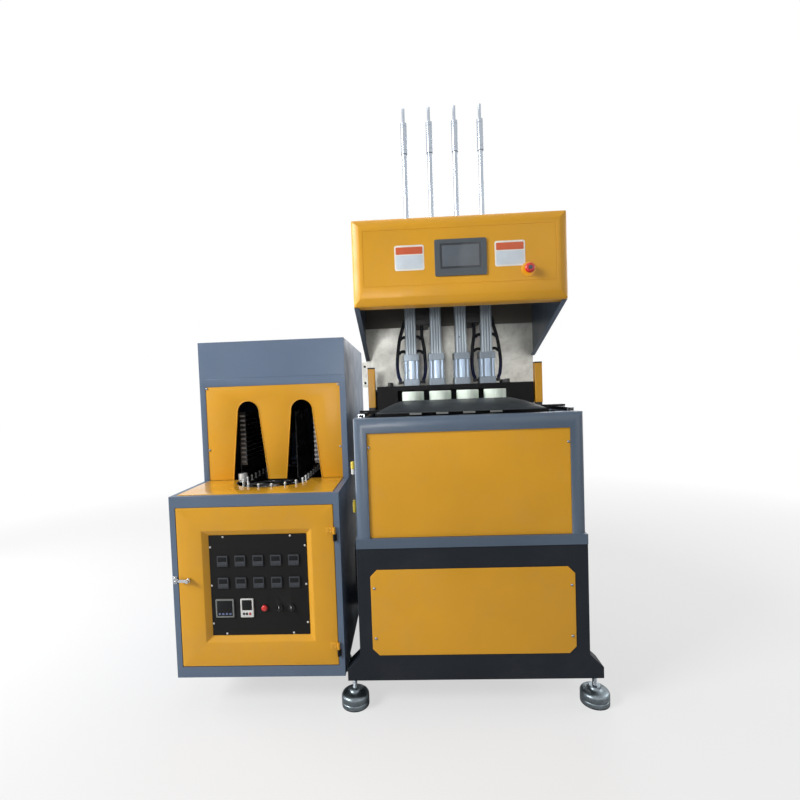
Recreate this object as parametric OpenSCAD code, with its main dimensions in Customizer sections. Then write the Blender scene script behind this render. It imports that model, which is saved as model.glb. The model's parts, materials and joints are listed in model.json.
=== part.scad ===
// Semi-automatic stretch blow moulding machine: a preform heater and a four-station blowing unit
// Millimetres, +Z up, the floor at z = 0, the operator's side at -Y

/* [Layout] */
// Width of the preform heater
heater_w = 750; // [700:5:820]
// Depth of the preform heater
heater_d = 1300; // [1280:10:1500]
// Height of the heater's cabinet above its feet
cabinet_h = 810; // [780:5:860]
// Gap between the heater and the base of the blowing unit
unit_gap = 69; // [64:1:150]
// How far the heater's face stands behind the blowing unit's face
heater_setback = 10; // [0:1:60]

/* [Base of the blowing unit] */
// Width of the base
base_w = 984; // [940:4:1040]
// Depth of the base and the clamp housing
base_d = 830; // [820:5:960]
// Height of the base's top above the floor
base_top = 712; // [690:2:740]
// Height of the levelling feet under the base
foot_h = 131; // [115:1:150]
// Reach of the base's ears on each side
ear_reach = 57; // [50:1:70]
// Upright height of an ear
ear_h = 48; // [40:1:60]
// Rise of an ear's slope
ear_rise = 55; // [40:1:70]
// Sheet thickness of the base
base_wall = 6; // [4:1:8]
// Radius of a levelling foot's cup
cup_r = 61; // [45:1:65]

/* [Clamp housing] */
// Width of the clamp housing
housing_w = 974; // [960:2:980]
// Height of the clamp housing with its flange
housing_h = 562; // [540:2:600]
// Height of the flange under the housing
flange_h = 44; // [36:1:50]
// Width of the front posts
post_w = 57; // [50:1:64]
// Height of the front top rail
rail_h = 66; // [56:1:76]
// Radius of the housing's front edges
post_r = 20; // [8:1:26]

/* [Mould clamp] */
// Travel of the front platen from open to closed
clamp_stroke = 210; // [180:5:220]
// Thickness of each mould half
mould_t = 70; // [60:1:76]
// Thickness of the front platen
platen_t = 40; // [30:1:44]
// Height of the mould halves
mould_h = 320; // [280:5:340]
// Radius of a bottle's body
bottle_r = 45; // [35:1:50]
// Height of a bottle under its neck
bottle_h = 240; // [200:5:260]
// Radius of a bottle's neck
neck_r = 14; // [12:0.5:16]
// Radius of the lower guide bars
guide_r = 20; // [16:1:25]
// Outer radius of the clamp cylinder's barrel
clamp_r = 63; // [50:1:66]

/* [Stations] */
// Number of blowing stations
stations = 4;
// Distance from one station to the next
station_pitch = 132; // [120:1:134]
// Offset of the row of stations from the middle of the frame
station_shift = -22; // [-30:1:10]
// Distance of the station line behind the housing's face
station_y = 510; // [500:1:520]
// Radius of a neck seat
seat_r = 53; // [44:1:56]
// Height of a neck seat
seat_h = 82; // [70:1:84]
// Width of a sealing cylinder's caps
seal_cap_w = 84; // [76:1:96]
// Height of a sealing cylinder
seal_h = 164; // [150:1:180]
// Travel of a sealing head
seal_stroke = 40; // [30:1:50]
// Width of a stretch cylinder's profile
stretch_w = 55; // [50:1:60]
// Length of a stretch cylinder
stretch_len = 473; // [440:1:480]
// Travel of a stretch rod
stretch_stroke = 330; // [280:5:340]
// Radius of a stretch rod
rod_r = 6; // [5:0.5:7]
// Height of the rods' tips above the hood
rod_above = 707; // [600:1:760]
// Running clearance between round parts
run_gap = 0.3; // [0.2:0.05:0.5]

/* [Hood] */
// Width of the hood
hood_w = 950; // [930:2:970]
// Height of the hood
hood_h = 385; // [360:1:410]
// Height of the hood's underside above the housing
hood_rise = 494; // [470:1:520]
// Distance of the hood's face behind the housing's face
hood_y = 111; // [90:1:130]
// Width of the rolled edge round the hood's face
hood_rim = 30; // [20:1:36]
// Width of the touch screen
screen_w = 228; // [200:1:250]
// Height of the touch screen
screen_h = 160; // [140:1:180]
// Radius of the emergency stop's cap
estop_r = 22; // [18:1:25]

/* [Oven] */
// Height of the oven hood
oven_h = 712; // [680:2:760]
// Distance of the oven's face behind the cabinet's face
oven_y = 361; // [350:1:372]
// Half width of an arch where its round top begins
arch_r = 54; // [44:1:58]
// Half width of an arch at its foot
arch_foot = 91; // [70:1:94]
// Height of an arch's round centre above the table
arch_rise = 351; // [330:1:380]
// Distance of each arch from the middle
arch_x = 138; // [132:1:142]
// Offset of the arches and the lamps from the middle
oven_shift = 9; // [0:1:10]
// Number of lamps on each side
lamps = 11; // [8:1:12]
// Distance from one lamp to the next
lamp_pitch = 24; // [22:0.5:25]
// Radius of a lamp
lamp_r = 5.5; // [4.5:0.25:6]
// Distance of the lamps from the middle
lamp_x = 194; // [188:1:205]

/* [Preform chain] */
// Pitch of the chain
chain_pitch = 31.75; // [30:0.05:32]
// Teeth of each sprocket
teeth = 30; // [28:2:30]
// Links in each straight run
run_links = 23; // [19:2:23]
// Radius of the chain's bushes
bush_r = 5.1; // [4.5:0.1:5.5]
// Half width of a link plate
plate_r = 7; // [6.5:0.25:8]

/* [Cabinet front] */
// Width of the door
door_w = 696; // [680:2:700]
// Height of the door
door_h = 709; // [690:1:715]
// Depth of the door's tray
door_t = 25; // [22:1:30]
// Depth of the recess round the control panel
recess_t = 18; // [14:1:20]
// Width of a temperature meter
meter_w = 48; // [40:1:50]
// Distance from one meter to the next
meter_pitch = 79.5; // [70:0.5:82]
// Radius of the hinge knuckles
knuckle_r = 6; // [5:0.5:8]

/* [Hidden] */
$fn = 64;
cut = 1;

// Places of the two units, with the origin under the middle of the whole machine
foot_x = base_w / 2 + 33;
blower_reach = foot_x + cup_r;
latch_reach = 28;
overall_w = heater_w + unit_gap + base_w / 2 + blower_reach;
heater_x = -overall_w / 2 + heater_w / 2;
blower_x = overall_w / 2 - blower_reach;
face_y = -(heater_setback + heater_d + heater_setback - latch_reach) / 2;

// Base of the blowing unit
half_base = base_w / 2;
ear_d = 90;
stud_r = 10;
stud_inset = 45;
cover_half = 435;
cover_z0 = 244;
cover_h = 375;
cover_chamfer = 29;
cover_t = 3;

// Clamp housing
half_housing = housing_w / 2;
housing_top = base_top + housing_h;
flange_top = base_top + flange_h;
housing_wall = 5;
post_d = 50;
bed_t = 20;
bed_top = flange_top + bed_t;
side_rail_h = 40;
panel_half = half_housing - post_w;
panel_t = 3;
panel_y = 7;

// Mould clamp
parting_y = station_y - clamp_stroke;
platen_y = parting_y - mould_t - platen_t;
platen_half = 400;
rear_y = station_y + mould_t;
rear_t = 50;
mould_top = 1300;
mould_z0 = mould_top - mould_h;
half_row = stations * station_pitch / 2;
guide_x = 330;
guide_z = 880;
rail_x = 455;
rail_w = 28;
rail_t = 16;
cap_w = 140;
clamp_z = bed_top + cap_w / 2;
cap_t = 30;
clamp_y0 = rear_y - 130;
barrel_len = 300;
clamp_bore = clamp_r - 6;
clamp_rod_r = 16;

// Stations
function station_x(i) = station_shift + (i - (stations + 1) / 2) * station_pitch;
head_under = mould_top + seat_h + 6;
head_t = 25;
head_top = head_under + head_t;
head_half = 405;
head_y = station_y - 54;
cheek_gap = half_row + 11;
cheek_t = 12;
cheek_z0 = 1180;
nozzle_r = 22;
seal_rod_r = 18;
seal_bore = 31.5;
seal_bottom_t = 35;
seal_top_t = 34;
seal_top = head_top + seal_h;
stretch_bore = 23;
stretch_top = seal_top + stretch_len;
upper_rod_r = 12.5;
sleeve_r = 16.5;
piston_t = 20;

// Hood
half_hood = hood_w / 2;
hood_z0 = housing_top + hood_rise;
hood_top = hood_z0 + hood_h;
hood_wall = 3;
hood_d = 90;
column_y = 700;
column_d = 60;
column_w = 50;
back_t = 3;
gusset_z = hood_z0 - 205;
rod_top = hood_top + rod_above;
screen_x = 6;
screen_z = hood_z0 + 197;
estop_x = 301;
estop_z = hood_z0 + 132;

// Heater
heater_z0 = 147;
table_z = heater_z0 + cabinet_h;
half_heater = heater_w / 2;
cab_wall = 5;
door_z0 = heater_z0 + 50;
door_gap = 2;
oven_top = table_z + oven_h;
deck_z = table_z - 59;
deck_t = 8;
link_z = table_z - 30;

// Preform chain
sprocket_r = chain_pitch / (2 * sin(180 / teeth));
run_len = run_links * chain_pitch;
front_y = oven_y - 34;
back_y = front_y + run_len;
slot_r = sprocket_r + 29;
carrier_n = teeth / 2 + run_links;

// Control panel
panel_cx = 5.5;
panel_z0 = door_z0 + 132;
panel_w = 435;
panel_h = 449;
recess_rim = 25;
plate_t = 3;
hinge_x = half_heater - 24;
hinge_y = -knuckle_r - run_gap;
pin_r = knuckle_r / 2;
jamb_d = 40;
latch_x = -door_w / 2 + 47;
latch_stem_r = 5;
latch_z = door_z0 + 391;
button_x = 26;
knob_x = [93, 147];
knob_z = panel_z0 + 122;

// A box given by its limits
module block(x0, x1, y0, y1, z0, z1) {
    translate([x0, y0, z0])
        cube([x1 - x0, y1 - y0, z1 - z0]);
}

// A round bar along Y
module bar_y(x, z, r, y0, y1) {
    translate([x, y0, z])
        rotate([-90, 0, 0])
            cylinder(r = r, h = y1 - y0);
}

// A round bar along X
module bar_x(y, z, r, x0, x1) {
    translate([x0, y, z])
        rotate([0, 90, 0])
            cylinder(r = r, h = x1 - x0);
}

// An outline drawn in X and Z, given thickness along Y from y0
module upright(y0, t) {
    translate([0, y0 + t, 0])
        rotate([90, 0, 0])
            linear_extrude(t)
                children();
}

// An outline drawn in Y and Z, given thickness along X from x0
module sideways(x0, t) {
    translate([x0, 0, 0])
        rotate([90, 0, 90])
            linear_extrude(t)
                children();
}

// A rectangle with round corners about its centre
module rounded(w, d, r) {
    square([w - 2 * r, d], center = true);
    square([w, d - 2 * r], center = true);
    for (x = [-1, 1], y = [-1, 1])
        translate([x * (w / 2 - r), y * (d / 2 - r)])
            circle(r);
}

module at_blower() {
    translate([blower_x, face_y, 0])
        children();
}

module at_heater() {
    translate([heater_x, face_y + heater_setback, 0])
        children();
}

// Places of the levelling feet
module blower_feet() {
    for (x = [-1, 1], y = [stud_inset, base_d - stud_inset])
        translate([x * foot_x, y, 0])
            children();
}

module heater_feet() {
    for (x = [-1, 1], y = [310, heater_d - 90])
        translate([x * (half_heater - 75), y, 0])
            children();
}

// One ear of the base: a folded box that spreads the foot beyond the frame
module ear_outline(inset) {
    reach = half_base + ear_reach - inset;
    bottom = foot_h + inset;
    polygon([
        [half_base - base_wall, bottom],
        [reach, bottom],
        [reach, foot_h + ear_h - inset / 2],
        [half_base, foot_h + ear_h + ear_rise - inset],
        [half_base - base_wall, foot_h + ear_h + ear_rise - inset]
    ]);
}

module ear(y0, y1, front_at_low) {
    skin_y = front_at_low ? y0 : y1 - base_wall;
    difference() {
        upright(y0, y1 - y0)
            ear_outline(0);
        upright(y0 - cut, y1 - y0 + 2 * cut)
            ear_outline(base_wall);
    }
    upright(skin_y, base_wall)
        ear_outline(0);
}

module base_frame() {
    color([0.17, 0.18, 0.24])
        at_blower()
            difference() {
                union() {
                    difference() {
                        block(-half_base, half_base, 0, base_d, foot_h, base_top);
                        block(-half_base + base_wall, half_base - base_wall, base_wall,
                            base_d - base_wall, foot_h - cut, base_top - base_wall);
                    }
                    for (x = [-1, 1], y = [0, base_d - 56])
                        difference() {
                            block(min(x * half_base, x * (half_base - 56)),
                                max(x * half_base, x * (half_base - 56)),
                                y, y + 56, foot_h, base_top);
                            block(min(x * (half_base - 6), x * (half_base - 50)),
                                max(x * (half_base - 6), x * (half_base - 50)),
                                y + 6, y + 50, foot_h - cut, base_top - base_wall);
                        }
                    for (m = [0, 1])
                        mirror([m, 0, 0]) {
                            ear(0, ear_d, true);
                            ear(base_d - ear_d, base_d, false);
                        }
                }
                block(-cover_half + 36, cover_half - 36, -cut, base_wall + cut,
                    cover_z0 + 18, cover_z0 + cover_h - 21);
                blower_feet()
                    translate([0, 0, foot_h - cut])
                        cylinder(r = stud_r + 1, h = base_wall + 2 * cut);
            }
}

// A levelling foot: a pressed cup, its stud, and a nut above and below the sheet that it carries
module levelling_foot(h, sheet) {
    difference() {
        rotate_extrude()
            polygon([
                [0, 0], [cup_r, 0], [cup_r, 20], [cup_r - 2, 22], [cup_r - 2, 24],
                [cup_r, 26], [cup_r, 44], [cup_r - 3, 51], [cup_r - 14, 58],
                [cup_r - 33, 64], [cup_r - 38, 74], [0, 74]
            ]);
        translate([0, 0, -cut])
            cylinder(r = cup_r - 6, h = 4 + cut);
    }
    translate([0, 0, 74])
        cylinder(r = stud_r, h = h + sheet + 24 - 74);
    translate([0, 0, h - 16])
        cylinder(r = 18, h = 16, $fn = 6);
    translate([0, 0, h + sheet])
        cylinder(r = 18, h = 14, $fn = 6);
}

module levelling_feet() {
    color([0.75, 0.76, 0.78]) {
        at_blower()
            blower_feet()
                levelling_foot(foot_h, base_wall);
        at_heater()
            heater_feet()
                levelling_foot(heater_z0, base_wall);
    }
}

module base_cover() {
    color([0.86, 0.6, 0.12])
        at_blower()
            upright(-cover_t, cover_t)
                translate([0, cover_z0])
                    polygon([
                        [-cover_half, cover_chamfer], [-cover_half + cover_chamfer, 0],
                        [cover_half - cover_chamfer, 0], [cover_half, cover_chamfer],
                        [cover_half, cover_h - cover_chamfer],
                        [cover_half - cover_chamfer, cover_h],
                        [-cover_half + cover_chamfer, cover_h],
                        [-cover_half, cover_h - cover_chamfer]
                    ]);
}

// Front posts and top rail as one frame; its rounded outer edge meets in a mitre at the corners
module front_frame() {
    inner = half_housing - post_w;
    difference() {
        intersection() {
            translate([0, 0, flange_top])
                linear_extrude(housing_top - flange_top) {
                    translate([-half_housing + post_r, 0])
                        square([housing_w - 2 * post_r, post_d]);
                    translate([-half_housing, post_r])
                        square([housing_w, post_d - post_r]);
                    for (x = [-1, 1])
                        translate([x * (half_housing - post_r), post_r])
                            circle(post_r);
                }
            sideways(-half_housing, housing_w) {
                translate([0, flange_top])
                    square([post_d, housing_top - flange_top - post_r]);
                translate([post_r, flange_top])
                    square([post_d - post_r, housing_top - flange_top]);
                translate([post_r, housing_top - post_r])
                    circle(post_r);
            }
        }
        block(-inner, inner, -cut, post_d + cut, flange_top - cut, housing_top - rail_h);
    }
}

module clamp_housing() {
    inner = half_housing - post_w;
    color([0.38, 0.45, 0.55])
        at_blower() {
            // channel section flange that sits on the base
            difference() {
                block(-half_base, half_base, -4, base_d + 4, base_top, flange_top);
                block(-half_base + 5, half_base - 5, 1, base_d - 1, base_top - cut, flange_top - 5);
                block(-inner, inner, 60, base_d - 60, flange_top - 5 - cut, flange_top + cut);
            }
            front_frame();
            // front sheet behind the cover panel, open in the middle
            difference() {
                block(-inner, inner, panel_y + panel_t, panel_y + panel_t + 4, flange_top,
                    housing_top - rail_h);
                block(-inner + 20, inner - 20, panel_y, 20, flange_top + 20,
                    housing_top - rail_h - 20);
            }
            for (x = [-half_housing, half_housing - housing_wall])
                block(x, x + housing_wall, post_d, base_d, flange_top, housing_top);
            for (x = [-half_housing, inner]) {
                block(x, x + post_w, post_d, base_d, housing_top - side_rail_h, housing_top);
                block(x, x + post_w, base_d - 50, base_d, flange_top, housing_top - side_rail_h);
            }
            block(-inner, inner, base_d - 50, base_d, housing_top - side_rail_h, housing_top);
            block(-inner, inner, base_d - 4, base_d, flange_top, housing_top - side_rail_h);
            block(-half_housing + housing_wall, half_housing - housing_wall, post_d, base_d - 50,
                flange_top, bed_top);
            // front bulkhead that holds the guide bars
            difference() {
                block(-inner + 20, inner - 20, 25, post_d, flange_top, guide_z + 60);
                for (x = [-1, 1])
                    bar_y(x * guide_x, guide_z, guide_r, 20, post_d + cut);
            }
            for (x = [-inner, inner - 20])
                block(x, x + 20, 25, post_d, flange_top, guide_z + 60);
        }
}

module housing_panel() {
    color([0.88, 0.62, 0.12])
        at_blower()
            block(-panel_half, panel_half, panel_y, panel_y + panel_t, flange_top,
                housing_top - rail_h);
}

// Dome-headed screws of all the fixed cover panels
module dome_screw(x, y, z) {
    translate([x, y, z])
        rotate([90, 0, 0])
            rotate_extrude()
                polygon([[0, 0], [6, 0], [5.4, 2.2], [3.6, 3.6], [0, 4.2]]);
}

module panel_screws() {
    color([0.8, 0.8, 0.82]) {
        at_blower() {
            for (x = [-1, 1]) {
                dome_screw(x * (panel_half - 8), panel_y, housing_top - rail_h - 60);
                for (z = [cover_z0 + 75, cover_z0 + cover_h - 80])
                    dome_screw(x * (cover_half - 15), -cover_t, z);
            }
        }
        at_heater()
            for (x = [-1, 1], z = [table_z + 160, table_z + 476])
                dome_screw(x * (half_heater - 36), oven_y + 2, z);
    }
}

module guide_rails() {
    color([0.78, 0.79, 0.81])
        at_blower()
            for (x = [-1, 1]) {
                bar_y(x * guide_x, guide_z, guide_r, 25, rear_y + rear_t);
                difference() {
                    block(x * rail_x - rail_w / 2, x * rail_x + rail_w / 2, 70, 440,
                        housing_top, housing_top + rail_t);
                    for (y = [90:80:420])
                        translate([x * rail_x, y, housing_top + rail_t - 6])
                            cylinder(r = 7, h = 6 + cut);
                }
            }
}

// Double-acting air cylinder that pulls the front platen shut
module clamp_cylinder() {
    y1 = clamp_y0 + cap_t + barrel_len;
    color([0.7, 0.72, 0.74])
        at_blower()
            difference() {
                union() {
                    for (y = [clamp_y0, y1])
                        block(-cap_w / 2, cap_w / 2, y, y + cap_t, bed_top, bed_top + cap_w);
                    bar_y(0, clamp_z, clamp_r, clamp_y0 + cap_t, y1);
                }
                bar_y(0, clamp_z, clamp_bore, clamp_y0 + cap_t, y1);
                bar_y(0, clamp_z, clamp_rod_r + run_gap, clamp_y0 - cut, clamp_y0 + cap_t + cut);
            }
}

module clamp_rod() {
    piston_y = clamp_y0 + cap_t + 10;
    color([0.82, 0.83, 0.85])
        at_blower() {
            bar_y(0, clamp_z, clamp_rod_r, platen_y + platen_t, piston_y);
            bar_y(0, clamp_z, clamp_bore - run_gap, piston_y, piston_y + 25);
        }
}

module front_platen() {
    color([0.1, 0.1, 0.11])
        at_blower()
            difference() {
                union() {
                    block(-platen_half, platen_half, platen_y, platen_y + platen_t, bed_top + 24,
                        mould_top);
                    for (x = [-1, 1]) {
                        // shoulder and shoe on the upper rail
                        block(min(x * (platen_half - 20), x * (rail_x + 19)),
                            max(x * (platen_half - 20), x * (rail_x + 19)),
                            platen_y, platen_y + platen_t, housing_top + rail_t + 1,
                            housing_top + rail_t + 10);
                        for (gusset = [0.35, 0.85])
                            sideways(x * platen_half * gusset - 5, 10)
                                polygon([
                                    [platen_y - 60, bed_top + 24], [platen_y, bed_top + 24],
                                    [platen_y, mould_top - 60]
                                ]);
                    }
                }
                for (x = [-1, 1])
                    bar_y(x * guide_x, guide_z, guide_r + run_gap, platen_y - 70,
                        platen_y + platen_t + cut);
            }
}

module rear_platen() {
    width = half_housing - post_w - 5;
    color([0.1, 0.1, 0.11])
        at_blower()
            difference() {
                block(-width, width, rear_y, rear_y + rear_t, bed_top, head_under);
                for (x = [-1, 1])
                    bar_y(x * guide_x, guide_z, guide_r, rear_y - cut, rear_y + rear_t + cut);
                bar_y(0, clamp_z, clamp_r + 1.5, rear_y - cut, rear_y + rear_t + cut);
            }
}

// The room for one bottle: base, straight body, domed shoulder and neck
module bottle_room() {
    shoulder = 40;
    body_top = bottle_h - shoulder - 20;
    arc = [for (a = [0:15:90]) [neck_r + (bottle_r - neck_r) * cos(a), body_top + shoulder * sin(a)]];
    translate([0, 0, mould_top - 15 - bottle_h])
        rotate_extrude()
            polygon(concat(
                [[0, 6], [bottle_r * 0.55, 4], [bottle_r * 0.8, 0], [bottle_r - 4, 2], [bottle_r, 8]],
                arc,
                [[neck_r, bottle_h + 15 + cut], [0, bottle_h + 15 + cut]]
            ));
}

module mould_half(y0, y1, line_y, top) {
    difference() {
        block(station_shift - half_row, station_shift + half_row, y0, y1, mould_z0, top);
        for (i = [1:stations])
            translate([station_x(i), line_y, 0])
                bottle_room();
        // cooling water ports along the block
        for (z = [mould_z0 + 60, mould_z0 + mould_h - 90])
            bar_x(line_y + sign(y0 + y1 - 2 * line_y) * (mould_t - 12), z, 5,
                station_shift - half_row - cut, station_shift - half_row + 40);
    }
}

module mould_front() {
    color([0.72, 0.73, 0.75])
        at_blower()
            mould_half(parting_y - mould_t, parting_y, parting_y, mould_top);
}

module mould_rear() {
    color([0.72, 0.73, 0.75])
        at_blower()
            mould_half(station_y, rear_y, station_y, mould_top - 1);
}

// Sloping shield that moves with the front platen; its sheet is bent to a shallow crown
module shield_plate() {
    y0 = 45;
    y1 = platen_y + 25;
    z0 = housing_top + 20;
    z1 = mould_top + 40;
    crown = 4;
    steps = 8;
    mid = station_shift;
    wide = 367;
    narrow = 258;
    color([0.26, 0.28, 0.3])
        at_blower() {
            intersection() {
                sideways(mid - wide, 2 * wide)
                    polygon(concat(
                        [for (k = [0:steps]) let (t = k / steps)
                            [y0 + (y1 - y0) * t, z0 + (z1 - z0) * t + crown * 4 * t * (1 - t)]],
                        [for (k = [steps:-1:0]) let (t = k / steps)
                            [y0 + (y1 - y0) * t, z0 - 3 + (z1 - z0) * t + crown * 4 * t * (1 - t)]]
                    ));
                linear_extrude(2000)
                    polygon([
                        [mid - wide, y0], [mid + wide, y0], [mid + narrow, y1], [mid - narrow, y1]
                    ]);
            }
            // four feet under the front lip and two brackets on the platen
            for (i = [1:stations])
                block(mid + (i - 2.5) * 116 - 46, mid + (i - 2.5) * 116 + 6, y0, y0 + 3,
                    z0 - 14, z0 - 2);
            for (x = [-1, 1])
                block(mid + x * 200 - 15, mid + x * 200 + 15, platen_y + 8, platen_y + 13,
                    mould_top, z1);
        }
}

module neck_seats() {
    color([0.9, 0.93, 0.86])
        at_blower()
            for (i = [1:stations])
                translate([station_x(i), parting_y, mould_top])
                    rotate_extrude()
                        polygon([
                            [26, 0], [seat_r - 1.5, 0], [seat_r, 1.5], [seat_r, seat_h - 3],
                            [seat_r - 3, seat_h], [30, seat_h], [26, seat_h - 6]
                        ]);
}

module head_frame() {
    inner = [station_shift - cheek_gap, station_shift + cheek_gap];
    color([0.09, 0.09, 0.1])
        at_blower()
            difference() {
                union() {
                    block(-head_half, head_half, head_y, rear_y + rear_t + 10, head_under, head_top);
                    block(-head_half, inner[0], head_y, head_y + cheek_t, cheek_z0, head_under);
                    block(inner[0] - cheek_t, inner[0], head_y, rear_y, cheek_z0, head_under);
                    block(inner[1], head_half, head_y, head_y + cheek_t, cheek_z0, head_under);
                    block(inner[1], inner[1] + cheek_t, head_y, rear_y, cheek_z0, head_under);
                }
                for (i = [1:stations])
                    translate([station_x(i), station_y, head_under - cut])
                        cylinder(r = nozzle_r + 4, h = head_t + 2 * cut);
            }
}

// Outline of a drawn cylinder profile: square with round corners and a groove pair on each side
module profile_outline(w, groove) {
    difference() {
        rounded(w, w, 5);
        for (a = [0:90:270])
            rotate(a)
                for (s = [-1, 1])
                    translate([w / 2, s * w * 0.27])
                        square([groove * 2, groove * 1.6], center = true);
    }
}

module seal_cylinders() {
    color([0.8, 0.82, 0.85])
        at_blower()
            for (i = [1:stations])
                translate([station_x(i), station_y, head_top])
                    difference() {
                        union() {
                            linear_extrude(seal_bottom_t)
                                rounded(seal_cap_w, seal_cap_w, 6);
                            translate([0, 0, seal_bottom_t])
                                linear_extrude(seal_h - seal_bottom_t - seal_top_t)
                                    profile_outline(seal_cap_w - 11, 3);
                            translate([0, 0, seal_h - seal_top_t])
                                linear_extrude(seal_top_t)
                                    rounded(seal_cap_w, seal_cap_w, 6);
                        }
                        translate([0, 0, seal_bottom_t - 12])
                            cylinder(r = seal_bore, h = seal_h - seal_bottom_t - seal_top_t + 24);
                        translate([0, 0, -cut])
                            cylinder(r = seal_rod_r + run_gap, h = seal_bottom_t);
                        translate([0, 0, seal_h - seal_top_t])
                            cylinder(r = rod_r + 1.5, h = seal_top_t + cut);
                    }
}

module stretch_cylinders() {
    color([0.75, 0.77, 0.8])
        at_blower()
            for (i = [1:stations])
                translate([station_x(i), station_y, seal_top])
                    difference() {
                        union() {
                            linear_extrude(stretch_len - 30)
                                profile_outline(stretch_w, 2.5);
                            translate([0, 0, stretch_len - 30])
                                linear_extrude(30)
                                    rounded(stretch_w, stretch_w, 4);
                        }
                        translate([0, 0, 20])
                            cylinder(r = stretch_bore, h = stretch_len - 45);
                        translate([0, 0, -cut])
                            cylinder(r = rod_r + run_gap, h = 30);
                        translate([0, 0, stretch_len - 40])
                            cylinder(r = upper_rod_r + run_gap, h = 40 + cut);
                    }
}

// Hollow sealing head: nozzle, rod and piston in one turned piece
module seal_head(i) {
    piston_z = seal_top - seal_top_t + 12 - piston_t - 3;
    color([0.62, 0.64, 0.66])
        at_blower()
            translate([station_x(i), station_y, 0])
                rotate_extrude()
                    polygon([
                        [rod_r + 1.5, head_under + 4], [nozzle_r - 5, head_under + 4],
                        [nozzle_r, head_under + 9], [nozzle_r, head_top - 1],
                        [seal_rod_r, head_top - 1], [seal_rod_r, piston_z],
                        [seal_bore - run_gap, piston_z], [seal_bore - run_gap, piston_z + piston_t],
                        [rod_r + 1.5, piston_z + piston_t]
                    ]);
}

// Stretch rod with its piston, the upper rod, the stop sleeve and the thin end
module stretch_rod(i) {
    piston_z = stretch_top - 25 - piston_t - 2;
    tip_z = head_under + 12;
    color([0.84, 0.85, 0.87])
        at_blower()
            translate([station_x(i), station_y, 0])
                rotate_extrude()
                    polygon([
                        [0, tip_z], [rod_r * 0.6, tip_z + 0.5], [rod_r, tip_z + rod_r],
                        [rod_r, piston_z], [stretch_bore - run_gap, piston_z],
                        [stretch_bore - run_gap, piston_z + piston_t],
                        [upper_rod_r, piston_z + piston_t], [upper_rod_r, rod_top - 238],
                        [sleeve_r - 1, rod_top - 238], [sleeve_r, rod_top - 237],
                        [sleeve_r, rod_top - 79], [sleeve_r - 1, rod_top - 78],
                        [8, rod_top - 78], [8, rod_top - 3], [6, rod_top], [0, rod_top]
                    ]);
}

// Air tubes: hand-chosen points beside a station, as distance outward from its line and height
hose_r = 6;
link_r = 5;
port_z = head_top + 22;
lower_route = [[72, 160], [75, 120], [74, 85], [69, 50], [63.5, 37], [62, 31], [62, 28]];
outer_route = concat([
    [34, 338], [34, 330], [37, 313], [45, 290], [56, 255], [63, 222], [67, 195]
], lower_route);
inner_route = concat([
    [60, 319], [60, 300], [60, 280], [61, 255], [65, 228], [70, 195]
], lower_route);
upper_link = [[28.5, 258], [37, 258.5], [46, 254], [55, 245]];
lower_link = [[28.5, 181], [42, 183.5], [55, 180], [65, 170]];

function unit(v) = v / norm(v);
function along(p, i) =
    unit(p[min(i + 1, len(p) - 1)] - p[max(i - 1, 0)]);

// A tube swept through points that all lie in one upright plane
module swept_tube(points, r) {
    sides = 8;
    n = len(points);
    rings = [for (i = [0:n - 1], s = [0:sides - 1])
        let (t = along(points, i), a = 360 * s / sides)
            [points[i][0] + r * cos(a) * t[1], r * sin(a), points[i][1] - r * cos(a) * t[0]]];
    walls = [for (i = [0:n - 2], s = [0:sides - 1])
        [i * sides + s, (i + 1) * sides + s, (i + 1) * sides + (s + 1) % sides,
            i * sides + (s + 1) % sides]];
    polyhedron(rings, concat(walls, [[for (s = [0:sides - 1]) s]],
        [[for (s = [sides - 1:-1:0]) (n - 1) * sides + s]]));
}

// Places a tube beside a station, on the side of the next station or on the outer side
module beside(i, inner) {
    translate([station_x(i), station_y, head_top])
        mirror([(i == 1) == (inner == 0) ? 1 : 0, 0, 0])
            children();
}

module air_hoses() {
    color([0.06, 0.07, 0.12])
        at_blower()
            for (i = [1, stations], inner = [0, 1])
                beside(i, inner) {
                    swept_tube(inner == 1 ? inner_route : outer_route, hose_r);
                    swept_tube(upper_link, link_r);
                    swept_tube(lower_link, link_r);
                }
}

module hose_fittings() {
    half_cap = seal_cap_w / 2;
    color([0.08, 0.08, 0.09])
        at_blower()
            for (i = [1, stations], inner = [0, 1])
                beside(i, inner) {
                    difference() {
                        union() {
                            bar_x(0, 18, 7, half_cap, 62);
                            translate([62, 0, 10])
                                cylinder(r = 9, h = 18);
                        }
                        block(55, 75, -12, 12, 28, 40);
                    }
                    if (inner == 0)
                        block(stretch_w / 2, stretch_w / 2 + 13, -7, 7, 338, 352);
                }
}

// Valve blocks between two stations that the inner tubes enter from below
module valve_blocks() {
    half = (station_pitch - stretch_w) / 2 - 3;
    front = station_y - 26;
    color([0.05, 0.05, 0.06])
        at_blower()
            for (i = [1, stations - 1])
                let (mid = (station_x(i) + station_x(i + 1)) / 2)
                    difference() {
                        block(mid - half, mid + half, front, column_y - back_t,
                            head_top + 319, head_top + 437);
                        for (k = [1:3])
                            block(mid - half - cut, mid + half + cut, front - cut, front + 3,
                                head_top + 319 + 28 * k, head_top + 321 + 28 * k);
                    }
}

module back_plate() {
    inner = half_hood - hood_wall;
    color([0.68, 0.67, 0.64])
        at_blower() {
            block(-inner, inner, column_y - back_t, column_y, head_top - 13, hood_z0 - 19);
            // junction bracket at the left edge
            difference() {
                block(-inner - 28, -inner + 18, column_y - back_t - 6, column_y - back_t,
                    head_top + 3, gusset_z - 3);
                for (z = [head_top + 28, gusset_z - 28])
                    bar_y(-inner - 14, z, 4, column_y - back_t - 7, column_y - back_t + cut);
            }
        }
}

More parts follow.
